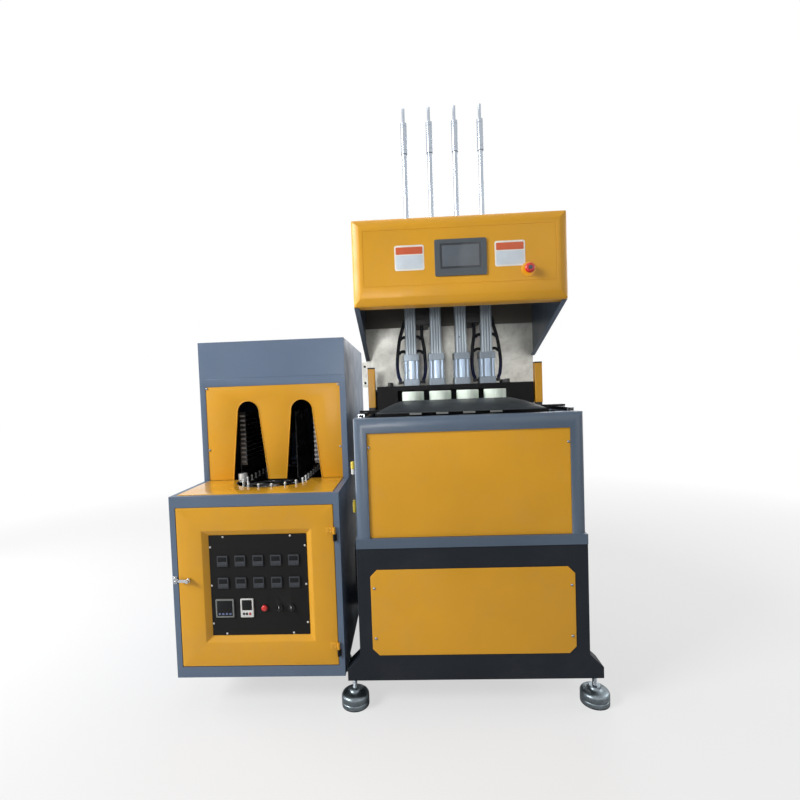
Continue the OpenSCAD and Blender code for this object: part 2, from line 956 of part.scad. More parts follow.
module rear_columns() {
    outer = half_hood - hood_wall;
    color([0.2, 0.22, 0.26])
        at_blower()
            for (x = [-outer, outer - column_w]) {
                translate([x + column_w / 2, column_y + column_d / 2, housing_top])
                    linear_extrude(hood_top - hood_wall - housing_top)
                        difference() {
                            rounded(column_w, column_d, 4);
                            square([column_w - 8, column_d - 8], center = true);
                        }
            }
}

// One slice of the hood's outline for its rolled rim
module hood_slice(y, inset) {
    block(-half_hood + inset, half_hood - inset, y, y + 0.5, hood_z0 + inset * 1.25, hood_top - inset * 1.2);
}

module hood_body(grow, y1) {
    rim = [[0, 1], [2, 0.55], [7, 0.22], [14, 0.05], [20, 0]];
    hull() {
        for (s = rim)
            hood_slice(hood_y + grow + s[0], s[1] * hood_rim + grow);
        hood_slice(y1, grow);
    }
}

module hood_shell() {
    color([0.9, 0.64, 0.12])
        at_blower()
            difference() {
                hood_body(0, hood_y + hood_d - 0.5);
                hood_body(hood_wall, hood_y + hood_d + cut);
                // opening for the touch screen and hole for the emergency stop
                block(screen_x - screen_w / 2 + 12, screen_x + screen_w / 2 - 12, hood_y - cut,
                    hood_y + 20, screen_z - screen_h / 2 + 12, screen_z + screen_h / 2 - 12);
                bar_y(estop_x, estop_z, 11.5, hood_y - cut, hood_y + 20);
                // pressed line round the face
                difference() {
                    block(-half_hood + 50, half_hood - 50, hood_y - cut, hood_y + 0.8,
                        hood_z0 + 82, hood_top - 55);
                    block(-half_hood + 53, half_hood - 53, hood_y - 2 * cut, hood_y + 1,
                        hood_z0 + 85, hood_top - 58);
                }
            }
}

// Side sheets with the sloping arm that carries the hood, and a lip folded along the slope
module hood_sides() {
    front = hood_y + hood_d;
    slope_y = hood_y + 20;
    tip_y = column_y - 32;
    run = tip_y - slope_y;
    drop = hood_z0 - gusset_z;
    length = sqrt(run * run + drop * drop);
    inner = half_hood - hood_wall;
    color([0.3, 0.34, 0.4])
        at_blower()
            for (m = [0, 1])
                mirror([m, 0, 0]) {
                    sideways(inner, hood_wall)
                        polygon([
                            [front, hood_top], [front, hood_z0], [slope_y, hood_z0],
                            [tip_y, gusset_z], [column_y + column_d, gusset_z],
                            [column_y + column_d, hood_top]
                        ]);
                    translate([inner - 20, slope_y, hood_z0])
                        rotate([-atan2(drop, run), 0, 0])
                            translate([0, 10, 0])
                                cube([21, length - 11, hood_wall]);
                }
}

module hood_decks() {
    inner = half_hood - hood_wall;
    front = hood_y + hood_d;
    back = column_y + column_d;
    color([0.16, 0.17, 0.19])
        at_blower() {
            // back of the control box, and the upright sheet behind the cylinders
            block(-inner, inner, front, front + hood_wall, hood_z0, hood_top);
            block(-inner, inner, column_y - back_t, column_y, hood_z0 - 19, hood_top);
            difference() {
                block(-inner, inner, front, back, hood_top - hood_wall, hood_top);
                for (i = [1:stations])
                    translate([station_x(i), station_y, hood_top - hood_wall - cut])
                        cylinder(r = 21, h = hood_wall + 2 * cut);
            }
            // rear cover with cooling louvres
            difference() {
                block(-half_hood, half_hood, back, back + 3, gusset_z, hood_top);
                for (k = [0:7])
                    block(-150, 150, back - cut, back + 3 + cut, hood_z0 + 60 + 28 * k,
                        hood_z0 + 68 + 28 * k);
            }
        }
}

module screen_panel() {
    body_w = screen_w - 26;
    body_h = screen_h - 26;
    color([0.2, 0.24, 0.28])
        at_blower()
            difference() {
                union() {
                    translate([screen_x, 0, screen_z])
                        upright(hood_y - 6, 6)
                            rounded(screen_w, screen_h, 8);
                    block(screen_x - body_w / 2, screen_x + body_w / 2, hood_y - 1, hood_y + 38,
                        screen_z - body_h / 2, screen_z + body_h / 2);
                }
                block(screen_x - screen_w / 2 + 24, screen_x + screen_w / 2 - 24, hood_y - 7,
                    hood_y - 4.5, screen_z - screen_h / 2 + 32, screen_z + screen_h / 2 - 18);
            }
}

module estop_collar() {
    color([0.93, 0.75, 0.1])
        at_blower()
            translate([estop_x, hood_y, estop_z])
                rotate([90, 0, 0])
                    difference() {
                        union() {
                            cylinder(r = estop_r + 9, h = 3);
                            cylinder(r = 14, h = 12);
                            translate([0, 0, -34])
                                cylinder(r = 11, h = 35);
                        }
                        translate([0, 0, -30])
                            cylinder(r = 8 + run_gap, h = 50);
                    }
}

module estop_button() {
    color([0.8, 0.08, 0.06])
        at_blower()
            translate([estop_x, hood_y, estop_z])
                rotate([90, 0, 0])
                    rotate_extrude()
                        polygon([
                            [0, -22], [8, -22], [8, 18], [estop_r - 4, 18], [estop_r, 21],
                            [estop_r, 26], [estop_r - 3, 31], [estop_r - 10, 33.5], [0, 34]
                        ]);
}

post_x = 433;
post_y = 475;
post_z0 = 31;
light_h = 202;

// Light curtain posts, each with the lens channel facing the other
module light_posts() {
    color([0.88, 0.65, 0.1])
        at_blower()
            for (m = [0, 1])
                mirror([m, 0, 0])
                    translate([post_x, post_y, housing_top + post_z0])
                        linear_extrude(light_h)
                            difference() {
                                rounded(37, 40, 3);
                                translate([-18.5, 0])
                                    square([6, 16], center = true);
                            }
}

module light_post_caps() {
    color([0.07, 0.07, 0.07])
        at_blower()
            for (x = [-1, 1])
                translate([x * post_x, post_y, housing_top]) {
                    linear_extrude(6)
                        rounded(44, 60, 4);
                    translate([0, 0, 6])
                        linear_extrude(post_z0 - 6)
                            rounded(34, 36, 3);
                    translate([0, 0, post_z0 + light_h])
                        linear_extrude(7)
                            rounded(37, 40, 3);
                }
}

// Preform heater: cabinet
module cabinet_frame() {
    door_x = door_w / 2 + door_gap;
    z0 = door_z0 - door_gap;
    z1 = door_z0 + door_h + door_gap;
    color([0.38, 0.45, 0.55])
        at_heater()
            difference() {
                union() {
                    difference() {
                        block(-half_heater, half_heater, 0, heater_d, heater_z0, table_z);
                        block(-half_heater + cab_wall, half_heater - cab_wall, cab_wall,
                            heater_d - cab_wall, heater_z0 - cut, table_z - cab_wall);
                    }
                    block(-door_x - 5, door_x + 5, cab_wall - cut, jamb_d, z0 - 5, z1 + 5);
                    // bars across the bottom that carry the feet
                    for (y = [310, heater_d - 90])
                        block(-half_heater + cab_wall, half_heater - cab_wall, y - 30, y + 30,
                            heater_z0, heater_z0 + base_wall);
                }
                block(-door_x, door_x, -cut, jamb_d + cut, z0, z1);
                // the well that the preform line stands in
                block(-half_heater + 45, half_heater - 45, 60, heater_d - 40,
                    table_z - cab_wall - cut, table_z + cut);
                heater_feet()
                    translate([0, 0, heater_z0 - cut])
                        cylinder(r = stud_r + 1, h = base_wall + 2 * cut);
                for (k = [0:9])
                    block(half_heater - cab_wall - cut, half_heater + cut, 500, 800,
                        heater_z0 + 180 + 24 * k, heater_z0 + 188 + 24 * k);
            }
}

module table_top() {
    color([0.88, 0.62, 0.12])
        at_heater()
            difference() {
                block(-half_heater + 28, half_heater - 28, 22, oven_y - 1, table_z, table_z + 3);
                translate([0, front_y, table_z - cut])
                    cylinder(r = slot_r, h = 3 + 2 * cut, $fn = 96);
                block(-slot_r, slot_r, front_y, oven_y, table_z - cut, table_z + 3 + cut);
            }
}

// Outer limits of the recess at the door's face and at its bottom
module recess_slice(y, grow) {
    block(panel_cx - panel_w / 2 - grow, panel_cx + panel_w / 2 + grow, y, y + 0.5,
        panel_z0 - grow, panel_z0 + panel_h + grow);
}

hinge_z = [door_z0 + 42, door_z0 + door_h - 158];

module hinge_barrels(from_z, h, r) {
    for (z = hinge_z)
        translate([hinge_x, hinge_y, z + from_z])
            cylinder(r = r, h = h);
}

module door() {
    w = door_w / 2;
    t = 2.5;
    color([0.9, 0.64, 0.12])
        at_heater()
            difference() {
                union() {
                    difference() {
                        block(-w, w, 0, door_t, door_z0, door_z0 + door_h);
                        block(-w + t, w - t, t, door_t + cut, door_z0 + t, door_z0 + door_h - t);
                    }
                    hull() {
                        recess_slice(t, recess_rim + t);
                        recess_slice(recess_t + t, t);
                    }
                    // upper knuckles and their leaves
                    hinge_barrels(30.5, 29.5, knuckle_r);
                    for (z = hinge_z)
                        block(w - 34, hinge_x, -2.5, 0, z + 30.5, z + 60);
                }
                hull() {
                    recess_slice(-0.5, recess_rim);
                    recess_slice(recess_t - 0.5, 0);
                }
                block(panel_cx - panel_w / 2 + 8, panel_cx + panel_w / 2 - 8, recess_t - cut,
                    recess_t + 5, panel_z0 + 8, panel_z0 + panel_h - 8);
                hinge_barrels(29, 33, pin_r + run_gap);
                bar_y(latch_x, latch_z, latch_stem_r + run_gap, -cut, t + cut);
            }
}

// Fixed lower knuckles with their leaves and pins, and the keeper plate beside the latch
module door_fittings() {
    keeper_x = -half_heater + 12;
    color([0.86, 0.62, 0.14])
        at_heater() {
            hinge_barrels(0, 30, knuckle_r);
            hinge_barrels(30, 29, pin_r);
            for (z = hinge_z)
                block(hinge_x, hinge_x + 11, -2.5, 0, z, z + 30);
            translate([keeper_x, 0, latch_z])
                upright(-2.5, 2.5)
                    rounded(16, 34, 3);
            for (z = [-9, 9])
                dome_screw(keeper_x, -2.5, latch_z + z);
        }
}

// Door latch: lever, spindle through the door, and the cam that turns behind the jamb
module door_latch() {
    color([0.72, 0.73, 0.75])
        at_heater()
            translate([latch_x, 0, latch_z]) {
                bar_y(0, 0, 9, -8, -run_gap);
                bar_y(0, 0, latch_stem_r, -8, jamb_d + 2);
                translate([-17, 0, 0])
                    upright(-16, 8)
                        rounded(56, 13, 6);
                bar_y(0, 0, 7, 2 - latch_reach, -16);
                block(-9, 9, jamb_d + 2, jamb_d + 5, -61, 9);
            }
}

function meter_x(k) = panel_cx - 2 * meter_pitch + k * meter_pitch;
meter_rows = [panel_z0 + 334, panel_z0 + 236];
wide_meter_x = panel_cx - 157;
tall_meter_x = panel_cx - 57.5;
low_row = panel_z0 + 123;

module meter_cut(x, z, w, h) {
    block(x - w / 2, x + w / 2, recess_t - plate_t - cut, recess_t + cut, z - h / 2, z + h / 2);
}

module control_panel() {
    t0 = recess_t - plate_t;
    color([0.07, 0.07, 0.08])
        at_heater()
            difference() {
                union() {
                    block(panel_cx - panel_w / 2, panel_cx + panel_w / 2, t0, recess_t,
                        panel_z0, panel_z0 + panel_h);
                    bar_y(button_x, knob_z, 17, t0 - 3, t0);
                    for (x = knob_x)
                        bar_y(x, knob_z, 15, t0 - 2, t0);
                }
                for (k = [0:4], z = meter_rows)
                    meter_cut(meter_x(k), z, meter_w - 3, meter_w - 3);
                meter_cut(wide_meter_x, low_row, 79, 79);
                meter_cut(tall_meter_x, low_row, 55, 80);
                bar_y(button_x, knob_z, 13 + run_gap, t0 - 3 - cut, recess_t + cut);
                for (x = knob_x)
                    bar_y(x, knob_z, 5 + run_gap, t0 - 3, recess_t + cut);
            }
}

// A panel meter: bezel in front of the sheet, body through the cut-out, sunk window
module meter(x, z, w, h, side = 0.38, low = -0.05, high = 0.36) {
    t0 = recess_t - plate_t;
    difference() {
        union() {
            block(x - w / 2, x + w / 2, t0 - 6, t0, z - h / 2, z + h / 2);
            block(x - w / 2 + 2, x + w / 2 - 2, t0 - cut, t0 + 60, z - h / 2 + 2, z + h / 2 - 2);
        }
        block(x - w * side, x + w * side, t0 - 7, t0 - 4.5, z + h * low, z + h * high);
    }
}

module meters() {
    color([0.14, 0.15, 0.16])
        at_heater() {
            for (k = [0:4], z = meter_rows)
                meter(meter_x(k), z, meter_w, meter_w);
            meter(wide_meter_x, low_row, 82, 82, 0.42, -0.42, 0.42);
            meter(tall_meter_x, low_row, 58, 83, 0.38, -0.12, 0.43);
        }
}

module stop_button() {
    color([0.85, 0.07, 0.05])
        at_heater()
            translate([button_x, recess_t - plate_t, knob_z])
                rotate([90, 0, 0])
                    rotate_extrude()
                        polygon([[0, -16], [13, -16], [13, 11], [11.5, 13], [6, 14], [0, 14.2]]);
}

module selector(k) {
    color([0.05, 0.05, 0.05])
        at_heater()
            translate([knob_x[k], recess_t - plate_t, knob_z])
                rotate([90, 0, 0]) {
                    translate([0, 0, 2.3])
                        cylinder(r = 13, h = 5);
                    translate([0, 0, -20])
                        cylinder(r = 5, h = 23);
                    translate([0, 0, 7])
                        linear_extrude(9)
                            rounded(7, 25, 3);
                }
}

// Oven
module arch_outline(spread) {
    for (x = [-arch_x, arch_x])
        translate([x + oven_shift, table_z]) {
            translate([0, arch_rise])
                circle(arch_r + spread);
            polygon([
                [-arch_foot - spread, -10], [arch_foot + spread, -10],
                [arch_r + spread, arch_rise], [-arch_r - spread, arch_rise]
            ]);
        }
}

panel_edge = 29;
arch_panel_h = 484;

module oven_hood() {
    y1 = heater_d;
    color([0.38, 0.45, 0.55])
        at_heater()
            difference() {
                block(-half_heater, half_heater, oven_y, y1, table_z, oven_top);
                block(-half_heater + cab_wall, half_heater - cab_wall, oven_y + 8,
                    y1 - cab_wall, table_z - cut, oven_top - cab_wall);
                // recess and opening for the arch panel
                block(-half_heater + panel_edge, half_heater - panel_edge, oven_y - cut,
                    oven_y + 5, table_z - cut, table_z + arch_panel_h);
                block(-half_heater + panel_edge + 15, half_heater - panel_edge - 15,
                    oven_y, oven_y + 9, table_z - cut, table_z + arch_panel_h - 15);
                // seam of the top cover
                block(-half_heater - cut, half_heater + cut, oven_y - cut, oven_y + 1,
                    table_z + 524, table_z + 526);
                // outlet of the cooling air, and louvres at the back
                translate([0, (oven_y + y1) / 2, oven_top - 10])
                    cylinder(r = 90, h = 20);
                for (k = [0:7])
                    block(-140, 140, y1 - cab_wall - cut, y1 + cut, table_z + 180 + 30 * k,
                        table_z + 189 + 30 * k);
            }
}

module arch_panel() {
    color([0.9, 0.64, 0.12])
        at_heater()
            difference() {
                block(-half_heater + panel_edge, half_heater - panel_edge, oven_y + 2,
                    oven_y + 5, table_z + 3, table_z + arch_panel_h);
                upright(oven_y - cut, 8)
                    arch_outline(0);
            }
}

lamp_z0 = table_z + 88;
lamp_y0 = oven_y + 70;
lamp_len = back_y - lamp_y0 - 40;

module lamp_tubes() {
    color([0.93, 0.9, 0.86])
        at_heater()
            for (x = [-1, 1], k = [0:lamps - 1])
                bar_y(oven_shift + x * lamp_x, lamp_z0 + lamp_pitch * k, lamp_r, lamp_y0,
                    lamp_y0 + lamp_len);
}

// Racks that hold the lamps' ends, the outer reflectors and the reflector between the runs
module lamp_banks() {
    z0 = lamp_z0 - 20;
    z1 = lamp_z0 + lamp_pitch * (lamps - 1) + 20;
    y1 = lamp_y0 + lamp_len;
    color([0.45, 0.46, 0.48])
        at_heater() {
            for (m = [0, 1])
                translate([oven_shift, 0, 0])
                    mirror([m, 0, 0]) {
                    difference() {
                        union() {
                            for (y = [lamp_y0 + 8, y1 - 14])
                                block(lamp_x - 12, lamp_x + 24, y, y + 6, z0, z1);
                            block(lamp_x + 21, lamp_x + 24, lamp_y0 + 8, y1 - 8, deck_z + deck_t, z1);
                        }
                        for (k = [0:lamps - 1])
                            bar_y(lamp_x, lamp_z0 + lamp_pitch * k, lamp_r, lamp_y0, y1);
                    }
                    // inner reflector on two legs between the runs
                    block(82, 84, lamp_y0 + 20, y1 - 20, link_z + 20, z1);
                    for (y = [front_y + sprocket_r + 15, back_y - sprocket_r - 35])
                        block(80, 84, y, y + 20, deck_z + deck_t, z1);
                }
        }
}

// Preform line
shaft_r = 12.5;

module chain_deck() {
    color([0.08, 0.08, 0.09])
        at_heater()
            difference() {
                union() {
                    block(-half_heater + cab_wall, half_heater - cab_wall, 100, heater_d - 60,
                        deck_z, deck_z + deck_t);
                    for (y = [front_y, back_y])
                        translate([0, y, deck_z - 14])
                            cylinder(r = 32, h = deck_t + 14);
                }
                for (y = [front_y, back_y])
                    translate([0, y, deck_z - 20])
                        cylinder(r = shaft_r + run_gap, h = 40);
            }
}

// Bright guide outside the chain on its right side, and the white guide post on its left
module chain_guides() {
    r = slot_r - 9;
    z0 = link_z + 14;
    post_x0 = sprocket_r + 33;
    color([0.82, 0.83, 0.85])
        at_heater() {
            intersection() {
                difference() {
                    translate([0, front_y, z0])
                        cylinder(r = r, h = 16);
                    translate([0, front_y, z0 - cut])
                        cylinder(r = r - 3, h = 16 + 2 * cut);
                }
                translate([0, 0, z0])
                    linear_extrude(16)
                        polygon([[0, front_y], [r * 0.8, front_y - r], [2 * r, front_y - r],
                            [2 * r, front_y]]);
            }
            block(r - 3, r, front_y, back_y - 60, z0, z0 + 16);
            for (y = [front_y + 10, (front_y + back_y) / 2, back_y - 80])
                block(r - 4.5, r + 1.5, y, y + 14, deck_z + deck_t, z0);
            translate([-post_x0, oven_y + 34, 0])
                rotate_extrude()
                    polygon([
                        [0, deck_z + deck_t], [12, deck_z + deck_t], [12, deck_z + deck_t + 5],
                        [6, deck_z + deck_t + 5], [6, link_z + 16], [21.5, link_z + 16],
                        [23, link_z + 17.5], [23, link_z + 59], [21, link_z + 61],
                        [0, link_z + 61]
                    ]);
        }
}

// Pins of the chain: half of the front sprocket's pins, one run, the rear half, the other run
half_teeth = teeth / 2;
pin_n = 2 * (half_teeth + run_links);
function arc_pin(k, cy, from) =
    [sprocket_r * cos(from + k * 360 / teeth), cy + sprocket_r * sin(from + k * 360 / teeth)];
pins = concat(
    [for (k = [0:half_teeth]) arc_pin(k, front_y, 180)],
    [for (k = [1:run_links - 1]) [sprocket_r, front_y + k * chain_pitch]],
    [for (k = [0:half_teeth]) arc_pin(k, back_y, 0)],
    [for (k = [1:run_links - 1]) [-sprocket_r, back_y - k * chain_pitch]]
);

module link_plate(t) {
    linear_extrude(t) {
        translate([0, -plate_r * 0.8])
            square([chain_pitch, plate_r * 1.6]);
        circle(plate_r, $fn = 24);
        translate([chain_pitch, 0])
            circle(plate_r, $fn = 24);
    }
}

// One link from its own pin to the next; outer links carry the pins, inner links the bushes
module chain_link(i) {
    a = pins[i];
    b = pins[(i + 1) % pin_n];
    outer = i % 2 == 0;
    low = outer ? 0 : 3;
    t = outer ? 2.7 : 2.4;
    top = outer ? 13.3 : 10.6;
    translate([a[0], a[1], link_z])
        rotate(atan2(b[1] - a[1], b[0] - a[0])) {
            translate([0, 0, low])
                difference() {
                    link_plate(t);
                    if (!outer)
                        for (x = [0, chain_pitch])
                            translate([x, 0, -cut])
                                cylinder(r = 2.8, h = t + 2 * cut, $fn = 24);
                }
            translate([0, 0, top])
                difference() {
                    link_plate(t);
                    if (!outer)
                        for (x = [0, chain_pitch])
                            translate([x, 0, -cut])
                                cylinder(r = 2.8, h = t + 2 * cut, $fn = 24);
                }
            for (x = [0, chain_pitch])
                translate([x, 0, outer ? 0 : low + t])
                    difference() {
                        cylinder(r = outer ? 2.5 : bush_r, h = outer ? top + t : top - low - t,
                            $fn = 24);
                        if (!outer)
                            translate([0, 0, -cut])
                                cylinder(r = 2.8, h = top, $fn = 24);
                    }
        }
}

module preform_chain() {
    color([0.15, 0.15, 0.16])
        at_heater()
            for (i = [0:pin_n - 1])
                chain_link(i);
}

// Upright carriers, one in the middle of every outer link
module preform_carriers() {
    color([0.9, 0.9, 0.88])
        at_heater()
            for (i = [0:2:pin_n - 1])
                let (a = pins[i], b = pins[(i + 1) % pin_n])
                    translate([(a[0] + b[0]) / 2, (a[1] + b[1]) / 2, link_z + 16])
                        rotate_extrude($fn = 24)
                            polygon([
                                [0, 0], [7, 0], [7, 3], [4.6, 5], [4.6, 19], [5.8, 21],
                                [5.8, 26], [4, 29], [0, 29]
                            ]);
}

// Toothed wheel whose tips stand just inside the chain's bushes
module sprocket_wheel(cy) {
    tip = sprocket_r - bush_r - 0.5;
    root = tip - 7;
    step = 360 / teeth;
    translate([0, cy, 0]) {
        translate([0, 0, link_z + 6])
            linear_extrude(4.2)
                difference() {
                    polygon([for (k = [0:teeth - 1], q = [[-0.32, root], [-0.14, tip], [0.14, tip],
                        [0.32, root]])
                        q[1] * [cos((k + 0.5 + q[0]) * step), sin((k + 0.5 + q[0]) * step)]]);
                    for (a = [0:60:300])
                        rotate(a)
                            translate([tip * 0.58, 0])
                                circle(30);
                }
        translate([0, 0, deck_z + deck_t + 0.3])
            cylinder(r = 28, h = link_z + 14 - deck_z - deck_t);
        translate([0, 0, deck_z - 70])
            cylinder(r = shaft_r, h = 80);
    }
}

module drive_sprocket() {
    color([0.5, 0.51, 0.53])
        at_heater()
            sprocket_wheel(back_y);
}

module idler_sprocket() {
    color([0.5, 0.51, 0.53])
        at_heater()
            sprocket_wheel(front_y);
}

// Worm gearmotor hung under the deck, on the rear shaft
module gearmotor() {
    z1 = deck_z - 16;
    color([0.25, 0.33, 0.45])
        at_heater()
            translate([0, back_y, 0])
                difference() {
                    union() {
                        block(-60, 60, -60, 60, z1 - 95, z1 - 2);
                        for (x = [-1, 1], y = [-1, 1])
                            block(x * 48 - 9, x * 48 + 9, y * 48 - 9, y * 48 + 9, z1 - 2, deck_z);
                        bar_y(0, z1 - 50, 58, -300, -60);
                        for (k = [0:6])
                            bar_y(0, z1 - 50, 66, -280 + 26 * k, -276 + 26 * k);
                        bar_y(0, z1 - 50, 50, -326, -300);
                    }
                    translate([0, 0, z1 - 70])
                        cylinder(r = shaft_r + run_gap, h = 80);
                }
}

base_frame();
levelling_feet();
base_cover();
clamp_housing();
housing_panel();
panel_screws();
guide_rails();
clamp_cylinder();
clamp_rod();
front_platen();
rear_platen();
mould_front();
mould_rear();
shield_plate();
neck_seats();
head_frame();
seal_cylinders();
stretch_cylinders();
seal_head(1);  // seal_head_1
seal_head(2);  // seal_head_2
seal_head(3);  // seal_head_3
seal_head(4);  // seal_head_4
stretch_rod(1);  // stretch_rod_1
stretch_rod(2);  // stretch_rod_2
stretch_rod(3);  // stretch_rod_3
stretch_rod(4);  // stretch_rod_4
air_hoses();
hose_fittings();
valve_blocks();
back_plate();
rear_columns();
hood_shell();
hood_sides();
hood_decks();
screen_panel();
estop_collar();
estop_button();
light_posts();
light_post_caps();
cabinet_frame();
table_top();
door();
door_fittings();
door_latch();
control_panel();
meters();
stop_button();
selector(0);  // selector_1
selector(1);  // selector_2
oven_hood();
arch_panel();
lamp_tubes();
lamp_banks();
chain_deck();
chain_guides();
preform_chain();
preform_carriers();
drive_sprocket();
idler_sprocket();
gearmotor();
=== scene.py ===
import bpy
import bmesh
import json
import math
import numpy as np
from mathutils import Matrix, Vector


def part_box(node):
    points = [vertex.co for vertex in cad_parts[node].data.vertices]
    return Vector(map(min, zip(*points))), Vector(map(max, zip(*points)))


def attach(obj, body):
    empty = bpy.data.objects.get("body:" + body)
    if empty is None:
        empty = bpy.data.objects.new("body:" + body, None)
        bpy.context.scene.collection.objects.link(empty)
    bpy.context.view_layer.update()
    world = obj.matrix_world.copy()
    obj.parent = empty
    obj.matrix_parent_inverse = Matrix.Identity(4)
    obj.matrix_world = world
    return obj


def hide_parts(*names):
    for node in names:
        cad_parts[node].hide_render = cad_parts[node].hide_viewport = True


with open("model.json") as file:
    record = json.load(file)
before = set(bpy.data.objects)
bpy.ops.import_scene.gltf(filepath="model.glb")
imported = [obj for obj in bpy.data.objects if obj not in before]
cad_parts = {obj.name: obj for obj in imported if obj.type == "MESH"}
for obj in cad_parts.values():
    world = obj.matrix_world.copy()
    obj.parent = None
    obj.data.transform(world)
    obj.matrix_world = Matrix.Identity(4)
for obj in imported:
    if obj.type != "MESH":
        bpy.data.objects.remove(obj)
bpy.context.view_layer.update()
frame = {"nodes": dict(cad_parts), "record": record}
scene = bpy.context.scene
nodes = frame["nodes"]
bodyNames = frame["record"]["behaviour"]["bodies"]
print("stage: frame loaded")

# each unit is drawn in millimetres from the middle of its own front face, on the floor
millimetre = 0.001
doorHalf = 0.348
panelLow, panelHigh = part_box("base_cover")
blowerOrigin = np.array([(panelLow[0] + panelHigh[0]) / 2, panelHigh[1], 0])
heaterOrigin = np.array([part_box("door")[0][0] + doorHalf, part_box("cabinet_frame")[0][1], 0])


def blower(points):
    return np.asarray(points, float) * millimetre + blowerOrigin


def heater(points):
    return np.asarray(points, float) * millimetre + heaterOrigin


# camera of the photograph
view = dict(place=(0.10845, -2.58662, 1.37741), turn=(87.856, 2.048, 2.257), lens=20.592,
            shift=(0.015, 0.013125), sensor=36, far=60)
cameraData = bpy.data.cameras.new("photoCamera")
cameraData.sensor_width = view["sensor"]
cameraData.lens = view["lens"]
cameraData.shift_x, cameraData.shift_y = view["shift"]
cameraData.clip_end = view["far"]
camera = bpy.data.objects.new("photoCamera", cameraData)
camera.location = view["place"]
camera.rotation_euler = [math.radians(a) for a in view["turn"]]
scene.collection.objects.link(camera)
bpy.context.scene.camera = camera
scene.view_settings.view_transform = "Standard"


# finishes
def linear(colour):
    # screen values 0-255 to the linear values that a shader takes
    c = np.asarray(colour, float) / 255
    out = np.where(c <= 0.04045, c / 12.92, ((c + 0.055) / 1.055) ** 2.4)
    return (float(out[0]), float(out[1]), float(out[2]), 1)


def shade(colour, factor):
    return tuple(min(1, c * factor) for c in colour[:3]) + (1,)


class Finish:
    # a principled shader with its node tree and the few joints that every finish here uses
    def __init__(self, name, rough, metal=0):
        self.material = bpy.data.materials.new(name)
        self.material.use_nodes = True
        self.tree = self.material.node_tree
        self.shader = self.tree.nodes["Principled BSDF"]
        self.fill(self.shader, {"Roughness": rough, "Metallic": metal})
        self.coord = self.add("ShaderNodeTexCoord")

    def add(self, kind, **values):
        made = self.tree.nodes.new(kind)
        for key, value in values.items():
            setattr(made, key, value)
        return made

    def fill(self, made, values):
        for socket, value in values.items():
            made.inputs[socket].default_value = value

    def join(self, source, target):
        self.tree.links.new(source, target)

    def noise(self, scale, detail=2, stretch=(1, 1, 1), rough=0.5, twist=0):
        mapping = self.add("ShaderNodeMapping")
        mapping.inputs["Scale"].default_value = stretch
        self.join(self.coord.outputs["Object"], mapping.inputs["Vector"])
        made = self.add("ShaderNodeTexNoise")
        self.fill(made, {"Scale": scale, "Detail": detail, "Roughness": rough, "Distortion": twist})
        self.join(mapping.outputs["Vector"], made.inputs["Vector"])
        return made.outputs["Fac"]

    def ramp(self, fac, low, high, fromLow=0.35, fromHigh=0.65):
        made = self.add("ShaderNodeMapRange")
        self.fill(made, {"From Min": fromLow, "From Max": fromHigh, "To Min": low, "To Max": high})
        self.join(fac, made.inputs["Value"])
        return made.outputs["Result"]

    def mix(self, fac, first, second):
        made = self.add("ShaderNodeMix", data_type="RGBA")
        for socket, value in ((made.inputs[6], first), (made.inputs[7], second)):
            if isinstance(value, tuple):
                socket.default_value = value
            else:
                self.join(value, socket)
        self.join(fac, made.inputs[0])
        return made.outputs[2]

    def colour(self, value):
        self.join(value, self.shader.inputs["Base Color"])

    def roughness(self, value):
        self.join(value, self.shader.inputs["Roughness"])

    def bump(self, height, strength, distance):
        made = self.add("ShaderNodeBump")
        self.fill(made, {"Strength": strength, "Distance": distance})
        self.join(height, made.inputs["Height"])
        self.join(made.outputs["Normal"], self.shader.inputs["Normal"])

    def coat(self, weight, rough, specular=0.5):
        self.fill(self.shader, {"Specular IOR Level": specular, "Coat Weight": weight,
                                "Coat Roughness": rough})


def powderCoat(name, screenColour, rough=0.42, peel=0.10, drift=0.05, gloss=0.12, dust=0.08, specular=0.28):
    # baked paint: slow drift of tone, fine orange peel, and a little dust that dulls it in soft patches
    base = linear(screenColour)
    made = Finish(name, rough)
    tone = made.mix(made.ramp(made.noise(2.2, 4), 0, 1), shade(base, 1 - drift), shade(base, 1 + drift))
    dustTone = linear((150, 146, 138))
    patches = made.ramp(made.noise(5, 6, rough=0.65), 0, dust, 0.5, 0.8)
    made.colour(made.mix(patches, tone, dustTone))
    made.roughness(made.ramp(made.noise(9, 5), rough * 0.85, rough * 1.18))
    made.bump(made.noise(420, 2), peel, 0.0008)
    made.coat(gloss, 0.22, specular)
    return made.material


def wornSteel(name, screenColour, rough=0.3, streak=(1, 1, 1), scale=60, depth=0.04, drift=0.12, metal=1):
    # bare metal: fine streaks along one direction, and a slow change of polish
    base = linear(screenColour)
    made = Finish(name, rough, metal)
    fine = made.noise(scale, 4, streak)
    made.colour(made.mix(made.ramp(fine, 0, 1), shade(base, 1 - drift), shade(base, 1 + drift * 0.5)))
    made.roughness(made.ramp(made.noise(7, 3), rough * 0.75, rough * 1.3))
    if depth:
        made.bump(fine, depth, 0.0006)
    return made.material


